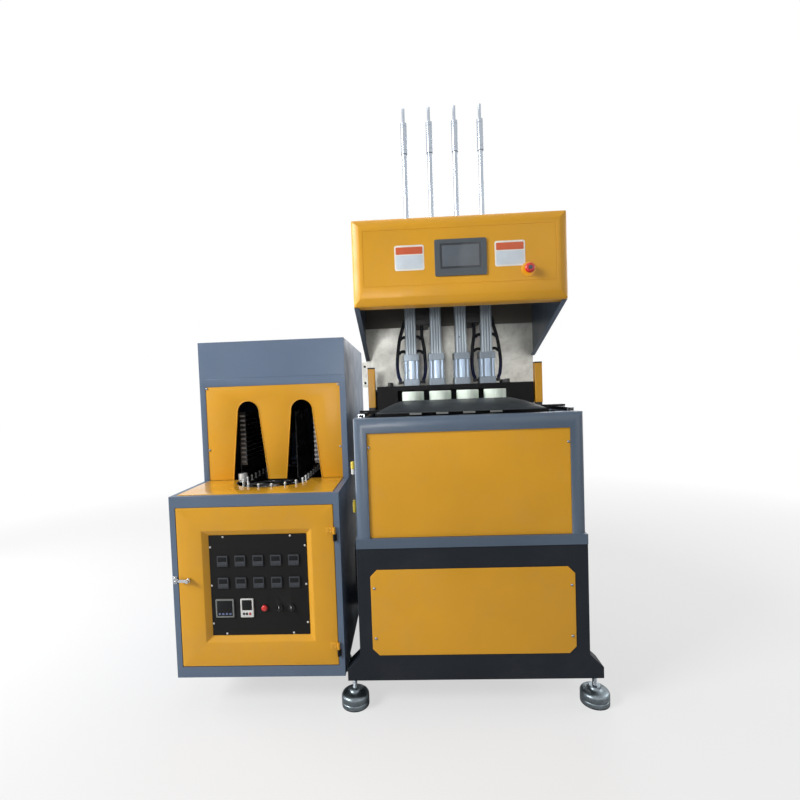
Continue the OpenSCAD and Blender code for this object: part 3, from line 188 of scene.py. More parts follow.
def stainedSheet(name, light, dark, rough=0.38, metal=0.75):
    # a mill-finish sheet with cloudy stains and upright rolling marks
    made = Finish(name, rough, metal)
    cloud = made.noise(4.2, 9, rough=0.72, twist=0.4)
    spots = made.noise(26, 6, rough=0.7)
    rolled = made.noise(60, 3, (1, 1, 0.06))
    tone = made.mix(made.ramp(cloud, 0, 1, 0.38, 0.62), linear(dark), linear(light))
    tone = made.mix(made.ramp(spots, 0, 0.45, 0.55, 0.75), tone, shade(linear(dark), 0.7))
    made.colour(made.mix(made.ramp(rolled, 0, 0.08, 0.4, 0.6), tone, shade(linear(dark), 0.85)))
    made.roughness(made.ramp(cloud, rough * 1.3, rough * 0.8))
    return made.material


def moulded(name, screenColour, rough=0.45, grain=0.05, gloss=0, specular=0.5):
    # moulded plastic or rubber: even colour, faint grain
    base = linear(screenColour)
    made = Finish(name, rough)
    made.colour(made.mix(made.ramp(made.noise(14, 3), 0, 1), shade(base, 0.93), shade(base, 1.05)))
    made.roughness(made.ramp(made.noise(40, 3), rough * 0.9, rough * 1.12))
    made.bump(made.noise(700, 2), grain, 0.0005)
    made.coat(gloss, 0.08, specular)
    return made.material


def hoseSkin(name, upper, lower, lowZ, highZ):
    # air tube, dark blue low down and black higher up; the colour changes gradually over the height
    made = Finish(name, 0.5)
    split = made.add("ShaderNodeSeparateXYZ")
    made.join(made.coord.outputs["Object"], split.inputs[0])
    made.colour(made.mix(made.ramp(split.outputs["Z"], 1, 0, lowZ, highZ), linear(upper), linear(lower)))
    made.roughness(made.ramp(made.noise(40, 3), 0.46, 0.56))
    made.coat(0, 0.1, 0.2)
    return made.material


bluePaint = dict(peel=0.05, dust=0.05, specular=0.16)
drawn = dict(streak=(18, 18, 1), scale=22, depth=0, metal=0.6)  # aluminium streaked along its length
film = dict(rough=0.35, grain=0.01)
clear = dict(rough=0.12, grain=0)
finish = dict(
    yellow=powderCoat("yellowPowderCoat", (217, 157, 34), gloss=0.22),
    tableYellow=powderCoat("yellowTableGloss", (216, 160, 42), rough=0.2, peel=0.03, gloss=0.6, dust=0.04),
    frameBlue=powderCoat("frameBluePaint", (96, 112, 133), rough=0.44, gloss=0.16, **bluePaint),
    ovenBlue=powderCoat("ovenBluePaint", (102, 119, 142), rough=0.44, gloss=0.16, **bluePaint),
    housingBlue=powderCoat("housingBluePaint", (80, 95, 113), rough=0.4, gloss=0.6, **bluePaint),
    charcoal=powderCoat("charcoalPaint", (32, 37, 44), rough=0.45, gloss=0.04, dust=0.03, specular=0.16),
    slate=powderCoat("slatePaint", (90, 102, 118), rough=0.42, gloss=0.16, dust=0.04),
    black=powderCoat("blackEnamel", (18, 18, 20), rough=0.5, gloss=0, dust=0.015, specular=0.14),
    deck=powderCoat("hoodDeckPaint", (112, 108, 100), rough=0.55, gloss=0.03, dust=0.04),
    shield=powderCoat("shieldGreyPaint", (52, 57, 61), rough=0.4, gloss=0.1, dust=0.04, specular=0.25),
    panelBlack=powderCoat("instrumentPanelPaint", (28, 28, 28), rough=0.55, gloss=0, dust=0.01,
                          specular=0.12),
    chrome=wornSteel("polishedChrome", (196, 200, 206), rough=0.14, scale=30, depth=0, drift=0.05),
    rodSteel=wornSteel("groundRodSteel", (178, 186, 196), rough=0.24, streak=(30, 30, 1), scale=14,
                       depth=0, drift=0.04, metal=0.9),
    zinc=wornSteel("zincPlatedSteel", (150, 158, 164), rough=0.34, scale=90, drift=0.2),
    footSteel=wornSteel("burnishedFootSteel", (122, 132, 138), rough=0.36, scale=50, drift=0.25),
    machined=wornSteel("machinedSteel", (150, 152, 156), rough=0.3, streak=(1, 1, 12), scale=80),
    mould=wornSteel("milledAluminium", (176, 180, 186), rough=0.34, streak=(1, 1, 18), scale=40),
    anodised=wornSteel("anodisedCylinder", (132, 142, 152), rough=0.42, **drawn),
    # the two rib finishes are lighter copies of the anodised finish: a painted highlight on the ribs, leaving
    # the darker anodised finish between them as painted shade in the grooves
    sealRib=wornSteel("anodisedSealRibPaintedHighlight", (176, 194, 216), rough=0.36, drift=0.06, **drawn),
    stretchRib=wornSteel("anodisedStretchRibPaintedHighlight", (172, 182, 190), rough=0.36, drift=0.06, **drawn),
    stainless=stainedSheet("stainlessSheet", (246, 246, 238), (204, 202, 194), 0.44),
    reflector=wornSteel("ovenReflector", (110, 110, 112), rough=0.3, streak=(9, 9, 1), scale=9),
    nylon=moulded("offWhiteNylon", (226, 238, 226), rough=0.42, grain=0.03),
    white=moulded("whiteAcetal", (226, 228, 226), rough=0.3, gloss=0.2),
    rubber=hoseSkin("blueBlackHose", (9, 11, 18), (10, 17, 62), 1.44, 1.58),
    padRubber=moulded("blackFootRubber", (26, 26, 27), rough=0.7, grain=0.12),
    blackPlastic=moulded("blackPlastic", (20, 20, 22), rough=0.5),
    bezel=moulded("meterBezelPlastic", (40, 44, 50), rough=0.5),
    keys=moulded("meterKeyRubber", (54, 58, 66), rough=0.55),
    lightFrame=moulded("lightGreyBezel", (116, 119, 116)),
    whiteFrame=moulded("whiteBezel", (214, 215, 212), rough=0.42),
    blueKeys=moulded("blueGreyKeys", (98, 112, 150), rough=0.5),
    screenGrey=moulded("screenBezelPlastic", (66, 74, 80), rough=0.4),
    collar=moulded("stopCollarYellow", (244, 176, 30), rough=0.35, gloss=0.2),
    red=moulded("stopButtonRed", (206, 30, 26), rough=0.28, gloss=0.4),
    teal=moulded("stopCentreDisc", (52, 62, 74), rough=0.35, gloss=0.2),
    lamp=moulded("lampQuartz", (58, 54, 52), rough=0.2, gloss=0.2),
    ceramic=moulded("lampEndCeramic", (178, 178, 180), rough=0.55, grain=0.08),
    chain=wornSteel("oiledChainSteel", (60, 60, 64), rough=0.36, scale=120),
    motor=powderCoat("motorEnamel", (60, 82, 112), rough=0.4, gloss=0.2),
    hinge=powderCoat("hingeEnamel", (226, 172, 52), rough=0.28, gloss=0.35, dust=0.03),
    card=moulded("labelCardFilm", (232, 230, 222), **film),
    cardBand=moulded("labelCardOrange", (206, 92, 52), **film),
    cardField=moulded("labelCardPale", (206, 216, 224), **film),
    glass=moulded("meterWindow", (14, 17, 20), gloss=0.12, specular=0.2, **clear),
    screen=moulded("screenGlass", (38, 42, 48), gloss=0.3, specular=0.3, **clear),
    screenField=moulded("screenField", (84, 92, 100), gloss=0.3, specular=0.3, **clear),
    lens=moulded("lightCurtainLens", (40, 10, 12), gloss=0.5, **clear),
    redKey=moulded("redKey", (176, 40, 44)),
    limeCap=moulded("limeYellowCap", (204, 182, 62), rough=0.4),
    brass=wornSteel("brassFitting", (196, 164, 84), rough=0.3, scale=80),
)

# finishes of the solids
finishNodes = dict(
    yellow="base_cover housing_panel hood_shell light_posts door arch_panel", tableYellow="table_top",
    frameBlue="cabinet_frame", ovenBlue="oven_hood", housingBlue="clamp_housing",
    charcoal="base_frame rear_columns", slate="hood_sides", deck="hood_decks", shield="shield_plate",
    black="front_platen rear_platen head_frame door_fittings chain_deck", panelBlack="control_panel",
    chrome="panel_screws guide_rails clamp_rod door_latch chain_guides", footSteel="levelling_feet",
    anodised="clamp_cylinder seal_cylinders stretch_cylinders", mould="mould_front mould_rear",
    machined="drive_sprocket idler_sprocket seal_head_1 seal_head_2 seal_head_3 seal_head_4",
    rodSteel="stretch_rod_1 stretch_rod_2 stretch_rod_3 stretch_rod_4", chain="preform_chain",
    stainless="back_plate", reflector="lamp_banks", lamp="lamp_tubes", nylon="neck_seats",
    white="preform_carriers", rubber="air_hoses", motor="gearmotor", bezel="meters",
    blackPlastic="hose_fittings valve_blocks light_post_caps selector_1 selector_2",
    screenGrey="screen_panel", collar="estop_collar", red="estop_button stop_button",
)
nodeFinish = {node: key for key, names in finishNodes.items() for node in names.split()}
for name, key in nodeFinish.items():
    for s in nodes[name].material_slots:
        s.material = finish[key]
print("stage: finishes on the solids")


# surfaces: every shape below is a grid of points, rows along one parameter and columns along the other
def gridFaces(rows, columns, wrapRows, wrapColumns):
    # each cell joins a point to its neighbours in its own and the next row
    i, j = np.meshgrid(np.arange(rows if wrapRows else rows - 1),
                       np.arange(columns if wrapColumns else columns - 1), indexing="ij")
    below = (i + 1) % rows * columns
    beside = (j + 1) % columns
    return np.stack([i * columns + j, i * columns + beside, below + beside, below + j], -1).reshape(-1, 4)


def fanVolume(points, faces):
    # six times the volume between the faces and the origin, each face cut into a fan of triangles
    first, second, third = points[faces[:, :1]], points[faces[:, 1:-1]], points[faces[:, 2:]]
    return float(np.sum(first * np.cross(second, third)))


def surface(grid, wrapRows=False, wrapColumns=True, caps=True):
    # a closed skin over the grid; turned the right way round when its volume comes out negative
    grid = np.asarray(grid, float)
    rows, columns = grid.shape[:2]
    points = grid.reshape(-1, 3)
    faces = [gridFaces(rows, columns, wrapRows, wrapColumns)]
    if caps and not wrapRows:
        faces.append(np.arange(columns)[None, ::-1])
        faces.append(np.arange((rows - 1) * columns, rows * columns)[None, :])
    middle = points.mean(0)
    if sum(fanVolume(points - middle, f) for f in faces) < 0:
        faces = [f[:, ::-1] for f in faces]
    return points, faces


def thinSheet(where, sides):
    # two open skins and the narrow rim that joins their edges
    around = [np.s_[0, :], np.s_[1:, -1], np.s_[-1, -2::-1], np.s_[-2:0:-1, 0]]
    rim = np.stack([np.concatenate([side[a] for a in around]) for side in sides])
    skins = [surface(where(side), wrapColumns=False, caps=False) for side in sides]
    return skins + [surface(where(rim), caps=False)]


def piece(name, parts, key, body="machine", replaced=(), sharp=35, weld=False):
    # one object from several skins
    points = []
    faces = []
    start = 0
    for partPoints, partFaces in parts:
        points.append(partPoints)
        for f in partFaces:
            faces.extend((f + start).tolist())
        start += len(partPoints)
    mesh = bpy.data.meshes.new(name)
    mesh.from_pydata(np.concatenate(points).tolist(), [], faces)
    if weld:
        work = bmesh.new()
        work.from_mesh(mesh)
        bmesh.ops.remove_doubles(work, verts=work.verts, dist=0.00002)
        bmesh.ops.recalc_face_normals(work, faces=work.faces)
        work.to_mesh(mesh)
        work.free()
    return settle(name, mesh, key, body, replaced, sharp, 0)


def settle(name, mesh, key, body, replaced, sharp, width):
    # smooth skin, crisp edges past an angle, a small round on them, one finish, one body
    mesh.polygons.foreach_set("use_smooth", [True] * len(mesh.polygons))
    mesh.update()
    mesh.set_sharp_from_angle(angle=math.radians(sharp))
    obj = bpy.data.objects.new(name, mesh)
    scene.collection.objects.link(obj)
    if width:
        rounding = obj.modifiers.new("edgeRound", "BEVEL")
        rounding.width = width * millimetre
        rounding.segments = 2
        rounding.limit_method = "ANGLE"
        rounding.angle_limit = math.radians(30)
        rounding.use_clamp_overlap = True
    mesh.materials.clear()
    mesh.materials.append(finish[key])
    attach(obj, body)
    if replaced:
        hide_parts(*replaced)
    return obj


def bodyOf(name):
    return next(b for b in bodyNames if name in bodyNames[b])


# front frame of the clamp housing: its outer round is drawn out over the posts' faces, as in a rolled section
frameRoll = dict(half=487, top=1274, low=756, deep=20, wide=42, slack=0.1)


def drawOut(mesh):
    # distance from the outer face times wide / deep, for the points in the round's depth
    q = frameRoll
    spot = np.empty(len(mesh.vertices) * 3)
    mesh.vertices.foreach_get("co", spot)
    local = (spot.reshape(-1, 3) - blowerOrigin) / millimetre
    front = (local[:, 1] < q["deep"] + q["slack"]) & (local[:, 2] > q["low"] - q["slack"])
    for axis, reach in ((0, q["half"]), (2, q["top"])):
        inside = reach - np.abs(local[:, axis])
        inRound = front & (inside > -q["slack"]) & (inside < q["deep"] + q["slack"])
        stretched = np.sign(local[:, axis]) * (reach - inside * q["wide"] / q["deep"])
        local[:, axis] = np.where(inRound, stretched, local[:, axis])
    mesh.vertices.foreach_set("co", blower(local).ravel())


def softened(name, width, reshape=None):
    # the CAD solid with its triangles merged to faces and every edge given a small round
    mesh = nodes[name].data.copy()
    work = bmesh.new()
    work.from_mesh(mesh)
    bmesh.ops.remove_doubles(work, verts=work.verts, dist=0.00002)
    bmesh.ops.dissolve_limit(work, angle_limit=math.radians(1), verts=work.verts, edges=work.edges)
    work.to_mesh(mesh)
    work.free()
    if reshape:
        reshape(mesh)
    return settle(name + "_soft", mesh, nodeFinish[name], bodyOf(name), (name,), 40, width)


def lift(outline, level, axis="y"):
    # an outline of two coordinates set at one level of the third
    a, b = outline[..., 0], outline[..., 1]
    full = np.full(a.shape, float(level))
    return np.stack({"x": (full, a, b), "y": (a, full, b), "z": (a, b, full)}[axis], -1)


def roundedLoop(x0, x1, z0, z1, radius, steps=6):
    # rectangle whose corners are quarter circles, counter-clockwise from the lower right one
    quarter = np.concatenate([np.linspace(0, np.pi / 2, steps) + k * np.pi / 2 for k in (-1, 0, 1, 2)])
    cx = np.repeat([x1 - radius, x1 - radius, x0 + radius, x0 + radius], steps)
    cz = np.repeat([z0 + radius, z1 - radius, z1 - radius, z0 + radius], steps)
    return np.stack([cx + radius * np.cos(quarter), cz + radius * np.sin(quarter)], -1)


def aroundPoint(x, z, wide, high, radius, steps=6):
    return roundedLoop(x - wide / 2, x + wide / 2, z - high / 2, z + high / 2, radius, steps)


def inward(outline):
    # the mean of the two edges' inward normals at a corner, lengthened so that both edges move evenly
    ahead = np.roll(outline, -1, 0) - outline
    ahead = ahead / np.linalg.norm(ahead, axis=1, keepdims=True)
    normal = np.stack([-ahead[:, 1], ahead[:, 0]], -1)
    total = normal + np.roll(normal, 1, 0)
    return total / np.sum(total * normal, -1, keepdims=True)


def roundEdge(back, front, radius, steps=4, foot=0):
    # pairs of inset and level: square at the back, a quarter circle at the front
    side = math.copysign(1, front - back)
    t = np.linspace(0, np.pi / 2, steps + 1)
    curve = np.stack([radius * (1 - np.cos(t)), front - side * radius * (1 - np.sin(t))], -1)
    return np.vstack([[[foot, back], [0, back + side * foot]] if foot else [[0, back]], curve])


def slab(where, outline, section, axis="y"):
    # the section's inset is measured inwards from the outline, its level along the axis
    push = inward(outline)
    return surface([where(lift(outline + push * inset, level, axis)) for inset, level in section])


def plate(where, box, corner, back, front, edge, steps=4):
    # a flat upright piece with rounded corners and a rounded front edge
    return slab(where, roundedLoop(*box, corner), roundEdge(back, front, edge, steps))


def badge(where, place, corner, back, front, edge, steps=4, cornerSteps=6):
    # as plate, for a place given as middle x, middle z, width and height
    return slab(where, aroundPoint(*place, corner, cornerSteps), roundEdge(back, front, edge, steps))


def spin(where, radius, height, centre, axis, ring=False):
    # point = centre + radius * (cos, sin) of the angle, + height along the axis; front means towards -Y
    angle = np.arange(radius.shape[1]) * 2 * np.pi / radius.shape[1]
    a, b = radius * np.cos(angle), radius * np.sin(angle)
    h = np.broadcast_to(height, a.shape)
    order = {"z": (a, b, h), "front": (a, -h, b), "x": (h, a, b), "left": (-h, a, b)}[axis]
    return surface(where(np.stack(order, -1) + np.asarray(centre, float)), wrapRows=ring)


def lathe(where, profile, centre, axis="z", turns=36, ring=False):
    # the same radius all round, so that a profile of radius and height becomes a turned part
    profile = np.asarray(profile, float)
    return spin(where, profile[:, :1] * np.ones(turns), profile[:, 1:], centre, axis, ring)


def turned(where, rows, centre, axis="z", turns=24):
    # as lathe, but each row is radius, height and how far its outline is a hexagon instead of a circle;
    # a hexagon's outline lies at 1 / cos of the angle from the middle of its nearest side
    rows = np.asarray(rows, float)
    angle = np.arange(turns) * 2 * np.pi / turns
    flat = 1 / np.cos((angle + np.pi / 6) % (np.pi / 3) - np.pi / 6)
    return spin(where, rows[:, :1] * (1 + rows[:, 2:] * (flat * 0.9 - 1)), rows[:, 1:2], centre, axis)


def gripped(where, rows, centre, axis, depth, grips, turns):
    # as lathe, but the radius dips by depth * cos(grips * angle), as much as a row's third number says
    rows = np.asarray(rows, float)
    angle = np.arange(turns) * 2 * np.pi / turns
    radius = rows[:, :1] - depth * rows[:, 2:] * (0.5 + 0.5 * np.cos(grips * angle))
    return spin(where, radius, rows[:, 1:2], centre, axis)


def domeScrew(where, centre, axis="front", r=6, high=4.2):
    # domed head with a hexagon socket sunk in it
    rows = [(1, 0, 0), (0.99, 0.2, 0), (0.9, 0.52, 0), (0.72, 0.8, 0), (0.5, 0.95, 0), (0.36, 1, 1),
            (0.34, 0.45, 1), (0.1, 0.4, 1)]
    return turned(where, np.array(rows) * (r, high, 1), centre, axis)


def capScrew(where, centre, r=6.5, high=8):
    # straight head with a hexagon socket
    rows = [(r, 0, 0), (r, high - 0.8, 0), (r - 0.8, high, 0), (r * 0.56, high, 1),
            (r * 0.54, high * 0.4, 1), (r * 0.1, high * 0.38, 1)]
    return turned(where, rows, centre)


def hexBolt(where, centre, across=22, high=9):
    # hexagon head on a round washer
    r = across / 2 / 0.9
    rows = [(r * 1.3, 0, 0), (r * 1.3, 2, 0), (r, 2, 1), (r, high - 1.6, 1), (r * 0.88, high, 0),
            (r * 0.2, high, 0)]
    return turned(where, rows, centre)


def smoothPath(points, perSpan=6):
    # Catmull-Rom: between two points, the cubic whose end slopes run parallel to the neighbours' chords
    p = np.asarray(points, float)
    p = np.vstack([2 * p[0] - p[1], p, 2 * p[-1] - p[-2]])
    t = (np.arange(perSpan) / perSpan)[None, :, None]
    a, b, c, d = (p[k:len(p) - 3 + k, None, :] for k in range(4))
    curve = 0.5 * (2 * b + (c - a) * t + (2 * a - 5 * b + 4 * c - d) * t ** 2
                   + (3 * b - 3 * c + d - a) * t ** 3)
    return np.vstack([curve.reshape(-1, p.shape[1]), p[-2]])


def tube(where, path, radius, origin, mirror=1, sides=14):
    # a circle carried along a path in an upright plane of x and z: across the path's own normal and along Y
    path = np.asarray(path, float)
    ahead = np.gradient(path, axis=0)
    ahead /= np.linalg.norm(ahead, axis=1, keepdims=True)
    angle = np.arange(sides) * 2 * np.pi / sides
    x = path[:, :1] - ahead[:, 1:] * radius * np.cos(angle)
    z = path[:, 1:] + ahead[:, :1] * radius * np.cos(angle)
    y = radius * np.sin(angle) * np.ones_like(x)
    return surface(where(np.stack([x * mirror, y, z], -1) + np.asarray(origin, float)))


# sheet metal and castings: the solids themselves, with their edges rounded as folded or machined work has
edgeRounds = dict(
    base_frame=2.5, clamp_housing=3, cabinet_frame=3, oven_hood=4, housing_panel=1.2, rear_platen=2,
    front_platen=1.5, mould_front=1, mould_rear=1, head_frame=1.5, screen_panel=2, rear_columns=0,
    guide_rails=0, clamp_cylinder=1, clamp_rod=0.5, stretch_cylinders=0.6, hood_sides=0.8, hood_decks=0.8,
    light_posts=0.8, light_post_caps=1, door_fittings=0.5, door_latch=1, control_panel=0.5,
    back_plate=0.5, lamp_tubes=0, lamp_banks=0.5, chain_deck=0.8, chain_guides=0.6, preform_chain=0,
    drive_sprocket=0.4, idler_sprocket=0.4, gearmotor=1.2, seal_head_1=0.4, seal_head_2=0.4, seal_head_3=0.4,
    seal_head_4=0.4, valve_blocks=1.5, estop_collar=0.6, selector_1=0.8, selector_2=0.8, seal_cylinders=0.8,
)
for name, width in edgeRounds.items():
    softened(name, width, drawOut if name == "clamp_housing" else None)
print("stage: sheet metal and castings")


# hood: a rolled rim carried round the mitred face, with the pressed line and the two openings
hood = dict(halfWidth=475, low=1768, high=2153, front=111, back=201, rim=36, roll=20, flat=0.55,
            sheet=3, lowRim=37.5, highRim=36, line=(-425, 425, 1850, 2098), lineWide=3,
            lineDeep=1.1, lineEdge=0.6, screenHole=(-96, 108, 1897, 2033),
            stopHole=(289.5, 312.5, 1888.5, 1911.5), corner=6)


def hoodLoop(x0, x1, z0, z1, level, corner, xShare, zShare, steps=4):
    # rectangle with a point at each share of its sides, and corners rounded by a quarter circle
    xs = x0 + corner + xShare * (x1 - x0 - 2 * corner)
    zs = z0 + corner + zShare * (z1 - z0 - 2 * corner)
    t = np.linspace(0, np.pi / 2, steps + 2)[1:-1]
    c, s = corner * np.cos(t), corner * np.sin(t)
    sides = [(xs, np.full_like(xs, z0)), (x1 - corner + s, z0 + corner - c),
             (np.full_like(zs, x1), zs), (x1 - corner + c, z1 - corner + s),
             (xs[::-1], np.full_like(xs, z1)), (x0 + corner - s, z1 - corner + c),
             (np.full_like(zs, x0), zs[::-1]), (x0 + corner - c, z0 + corner - s)]
    return blower(lift(np.vstack([np.stack(side, -1) for side in sides]), level))


def hoodShell():
    h = hood
    x0, x1, z0, z1 = h["line"]
    wide, front, sheet = h["lineWide"], h["front"], h["sheet"]
    groove = front + h["lineDeep"]
    screenHole, stopHole = h["screenHole"], h["stopHole"]
    xLines = np.array([x0 + wide, *screenHole[:2], *stopHole[:2], x1 - wide])
    zLines = np.array([z0 + wide, stopHole[2], screenHole[2], stopHole[3], screenHole[3], z1 - wide])
    xShare = (xLines - xLines[0]) / (xLines[-1] - xLines[0])
    zShare = (zLines - zLines[0]) / (zLines[-1] - zLines[0])

    def lineRow(inset, level):
        # the pressed line's rectangle, drawn in by an inset
        return (x0 + inset, x1 - inset, z0 + inset, z1 - inset, level, 0)

    rows = [lineRow(wide, front), lineRow(wide - h["lineEdge"], groove), lineRow(h["lineEdge"], groove),
            lineRow(0, front)]
    # rolled rim: inset 1 - sin and depth 1 - cos of the angle, drawn towards the chord by the flat share
    for grow in (0, sheet):
        rim = []
        for a in np.linspace(0, np.pi / 2, 11):
            f = 1 - math.sin(a)
            depth = h["roll"] * ((1 - math.cos(a)) * (1 - h["flat"]) + (1 - f) * h["flat"])
            half = h["halfWidth"] - f * h["rim"] - grow
            rim.append((-half, half, h["low"] + f * h["lowRim"] + grow, h["high"] - f * h["highRim"] - grow,
                        front + depth + grow, h["corner"] * (1 - f)))
        end = rim[-1][:4] + (h["back"], h["corner"])
        rows += rim + [end] if grow == 0 else [end] + rim[::-1]
    rows.append(lineRow(wide, front + sheet))
    parts = [surface([hoodLoop(*row, xShare, zShare) for row in rows], caps=False)]
    # the face inside the line, cell by cell, without the cells of the openings
    x, z = np.meshgrid(xLines, zLines, indexing="ij")
    spots = np.stack([x.ravel(), z.ravel()], -1)
    cells = gridFaces(len(xLines), len(zLines), False, False)
    middle = spots[cells].mean(1)
    opened = np.zeros(len(cells), bool)
    for hole in (screenHole, stopHole):
        opened |= ((middle[:, 0] > hole[0]) & (middle[:, 0] < hole[1])
                   & (middle[:, 1] > hole[2]) & (middle[:, 1] < hole[3]))
    for level in (front, front + sheet):
        parts.append((blower(lift(spots, level)), [cells[~opened]]))
    for hole, inLines in ((screenHole, zLines[2:5]), (stopHole, zLines[1:4])):
        side = np.stack([np.full(3, hole[1]), inLines], -1)
        loop = np.vstack([side, side[::-1] * [0, 1] + [hole[0], 0]])
        parts.append(surface([blower(lift(loop, level)) for level in (front, front + sheet)], caps=False))
    piece("hoodShell", parts, "yellow", replaced=("hood_shell",), sharp=28, weld=True)


hoodShell()

# blank cards on the hood's face: a pale film with a coloured band and a plain field
cards = dict(spots=((-285, -154), (156, 288)), low=1917, high=2028, thick=0.7, corner=9,
             margin=6, innerCorner=4.5, ink=0.15, band=(40, 8), field=(7, 44))
q = cards
filmFace = hood["front"] - q["thick"]
films = [plate(blower, (x0, x1, q["low"], q["high"]), q["corner"], hood["front"], filmFace, 0.3)
         for x0, x1 in q["spots"]]
piece("hoodCards", films, "card")
for name, key, low, high in (
        ("hoodCardBands", "cardBand", q["high"] - q["band"][0], q["high"] - q["band"][1]),
        ("hoodCardFields", "cardField", q["low"] + q["field"][0], q["high"] - q["field"][1])):
    inks = [plate(blower, (x0 + q["margin"], x1 - q["margin"], low, high), q["innerCorner"],
                  filmFace, filmFace - q["ink"], 0.1) for x0, x1 in q["spots"]]
    piece(name, inks, key)

# touch screen: glass in the bezel's sunk window, with its lighter active field
screen = dict(window=(-84, 96, 1917, 2027), floor=106.5, margin=9, glass=1.2, field=0.2)
x0, x1, z0, z1 = screen["window"]
m = screen["margin"]
glassFace = screen["floor"] - screen["glass"]
piece("screenGlass", [plate(blower, (x0, x1, z0, z1), 2, screen["floor"], glassFace, 0.3)], "screen")
piece("screenField", [plate(blower, (x0 + m, x1 - m, z0 + m, z1 - m), 1, glassFace,
                            glassFace - screen["field"], 0.1)], "screenField")

# emergency stop: mushroom cap with finger grips round its edge, and a dark disc in its middle
stop = dict(place=(301, 111, 1900), capRadius=22, gripDeep=0.5, grips=24)
r = stop["capRadius"]
cap = [(2, -22, 0), (8, -22, 0), (8, 17.6, 0), (r - 5, 18, 0), (r - 1.2, 19.4, 0.4), (r, 21.5, 1),
       (r, 25, 1), (r - 0.8, 28, 1), (r - 3, 30.8, 0.5), (r - 6, 32.6, 0), (r - 10, 33.6, 0), (2, 34, 0)]
disc = [(1, 33.4), (9.4, 33.4), (9.4, 34), (8.8, 34.3), (1, 34.4)]
piece("estopCap", [gripped(blower, cap, stop["place"], "front", stop["gripDeep"], stop["grips"], 96)], "red",
      "estop_button", ("estop_button",))
piece("estopDisc", [lathe(blower, disc, stop["place"], "front")], "teal", "estop_button")
print("stage: hood")


# base cover: a sheet with cut corners and a rounded front edge
cover = dict(half=435, low=244, high=619, cut=29, thick=3, round=1.4, foot=0.3)
h, c, low, high = cover["half"], cover["cut"], cover["low"], cover["high"]
corners = np.array([(-h + c, low), (h - c, low), (h, low + c), (h, high - c),
                    (h - c, high), (-h + c, high), (-h, high - c), (-h, low + c)])
section = roundEdge(0, -cover["thick"], cover["round"], foot=cover["foot"])
piece("baseCover", [slab(blower, corners, section)], "yellow", replaced=("base_cover",))

# screws of the covers: distance from the middle, face and heights
coverScrews = ((blower, 420, -3, (319, 539)), (blower, 422, 7, (1148,)),
               (heater, 339, 363, (1117, 1433)))
screws = [domeScrew(where, (side * x, y, z)) for where, x, y, heights in coverScrews
          for side in (-1, 1) for z in heights]
piece("coverScrews", screws, "zinc", replaced=("panel_screws",))

# levelling feet: rubber ring, pressed cup, threaded stud and its nuts
feet = dict(cup=61, stud=10, pitch=2.5, threadDepth=1.1, cupTop=74, spare=24, sheet=6,
            blower=(525, (45, 785), 131), heater=(300, (310, 1210), 147), nuts=(16, 14))


def threadedStud(where, centre, low, high):
    # radius = stud radius - depth * triangle wave of (height / pitch - angle / full turn)
    f = feet
    z = np.arange(low, high, f["pitch"] / 4)[:, None]
    wave = np.abs(((z / f["pitch"] - np.arange(16) / 16) % 1) * 2 - 1)
    return spin(where, f["stud"] - f["threadDepth"] * wave, z, centre, "z")


r = feet["cup"]
padProfile = [(r - 6, 4), (r - 6, 0.5), (r - 5, 0), (r - 1, 0), (r - 0.4, 0.6), (r - 0.4, 4)]
cupProfile = [(2, 4), (r - 1, 4), (r, 5), (r, 19.4), (r - 0.6, 20.8), (r - 2, 22), (r - 2, 24),
              (r - 0.6, 25.2), (r, 26.6), (r, 43), (r - 0.8, 46.5), (r - 3, 51), (r - 7, 54.5),
              (r - 14, 57.5), (r - 24, 60.5), (r - 33, 64), (r - 36.5, 69), (r - 38, feet["cupTop"]),
              (2, feet["cupTop"])]
cups = []
pads = []
studs = []
for where, (x, ys, under) in ((blower, feet["blower"]), (heater, feet["heater"])):
    over = under + feet["sheet"]
    for centre in [(side * x, y, 0) for side in (-1, 1) for y in ys]:
        pads.append(lathe(where, padProfile, centre, ring=True))
        cups.append(lathe(where, cupProfile, centre, turns=64))
        studs.append(threadedStud(where, centre, feet["cupTop"], over + feet["spare"]))
        for low, tall in zip((under - feet["nuts"][0], over), feet["nuts"]):
            nut = [(16.5, low, 0), (18, low + 1.6, 1), (18, low + tall - 1.6, 1), (16.5, low + tall, 0),
                   (10.2, low + tall, 0)]
            studs.append(turned(where, nut, centre))
piece("footPads", pads, "padRubber")
piece("footCups", cups, "footSteel", replaced=("levelling_feet",))
piece("footStuds", studs, "zinc")
print("stage: base")


# neck seats: turned rings with fine tool marks on the outside
seats = dict(stations=(-220, -88, 44, 176), y=300, low=1300, high=1382, radius=53, bore=26,
             mark=0.18, markPitch=9.6)
r, low, high = seats["radius"], seats["low"], seats["high"]
z = np.linspace(low + 1.5, high - 4, 41)
wave = 0.5 - 0.5 * np.cos((z - low) * 2 * np.pi / seats["markPitch"])
marks = np.stack([r - seats["mark"] * wave, z], -1)
profile = [(seats["bore"], low), (r - 1.5, low), *marks, (r - 0.9, high - 1.6), (r - 3, high), (30, high),
           (26.6, high - 5), (26, high - 6.5)]
rings = [lathe(blower, profile, (x, seats["y"], 0), turns=72, ring=True) for x in seats["stations"]]
piece("neckRings", rings, "nylon", "clamp_slide_group", ("neck_seats",), sharp=30)

# shield: a thin sheet, its height rising evenly with a crown of 4 t (1 - t), its sides drawn in to the back
shield = dict(middle=-22, front=45, back=215, low=1294, high=1340, wide=367, narrow=258,
              crown=4, thick=3, lip=6, lipDrop=2.2, feet=4, feetPitch=116,
              foot=(46, 6, 14, 2.4), footDeep=3, lugs=200, lugHalf=15,
              lugHeights=(1300, 1339.5), lugFaces=(203, 198))


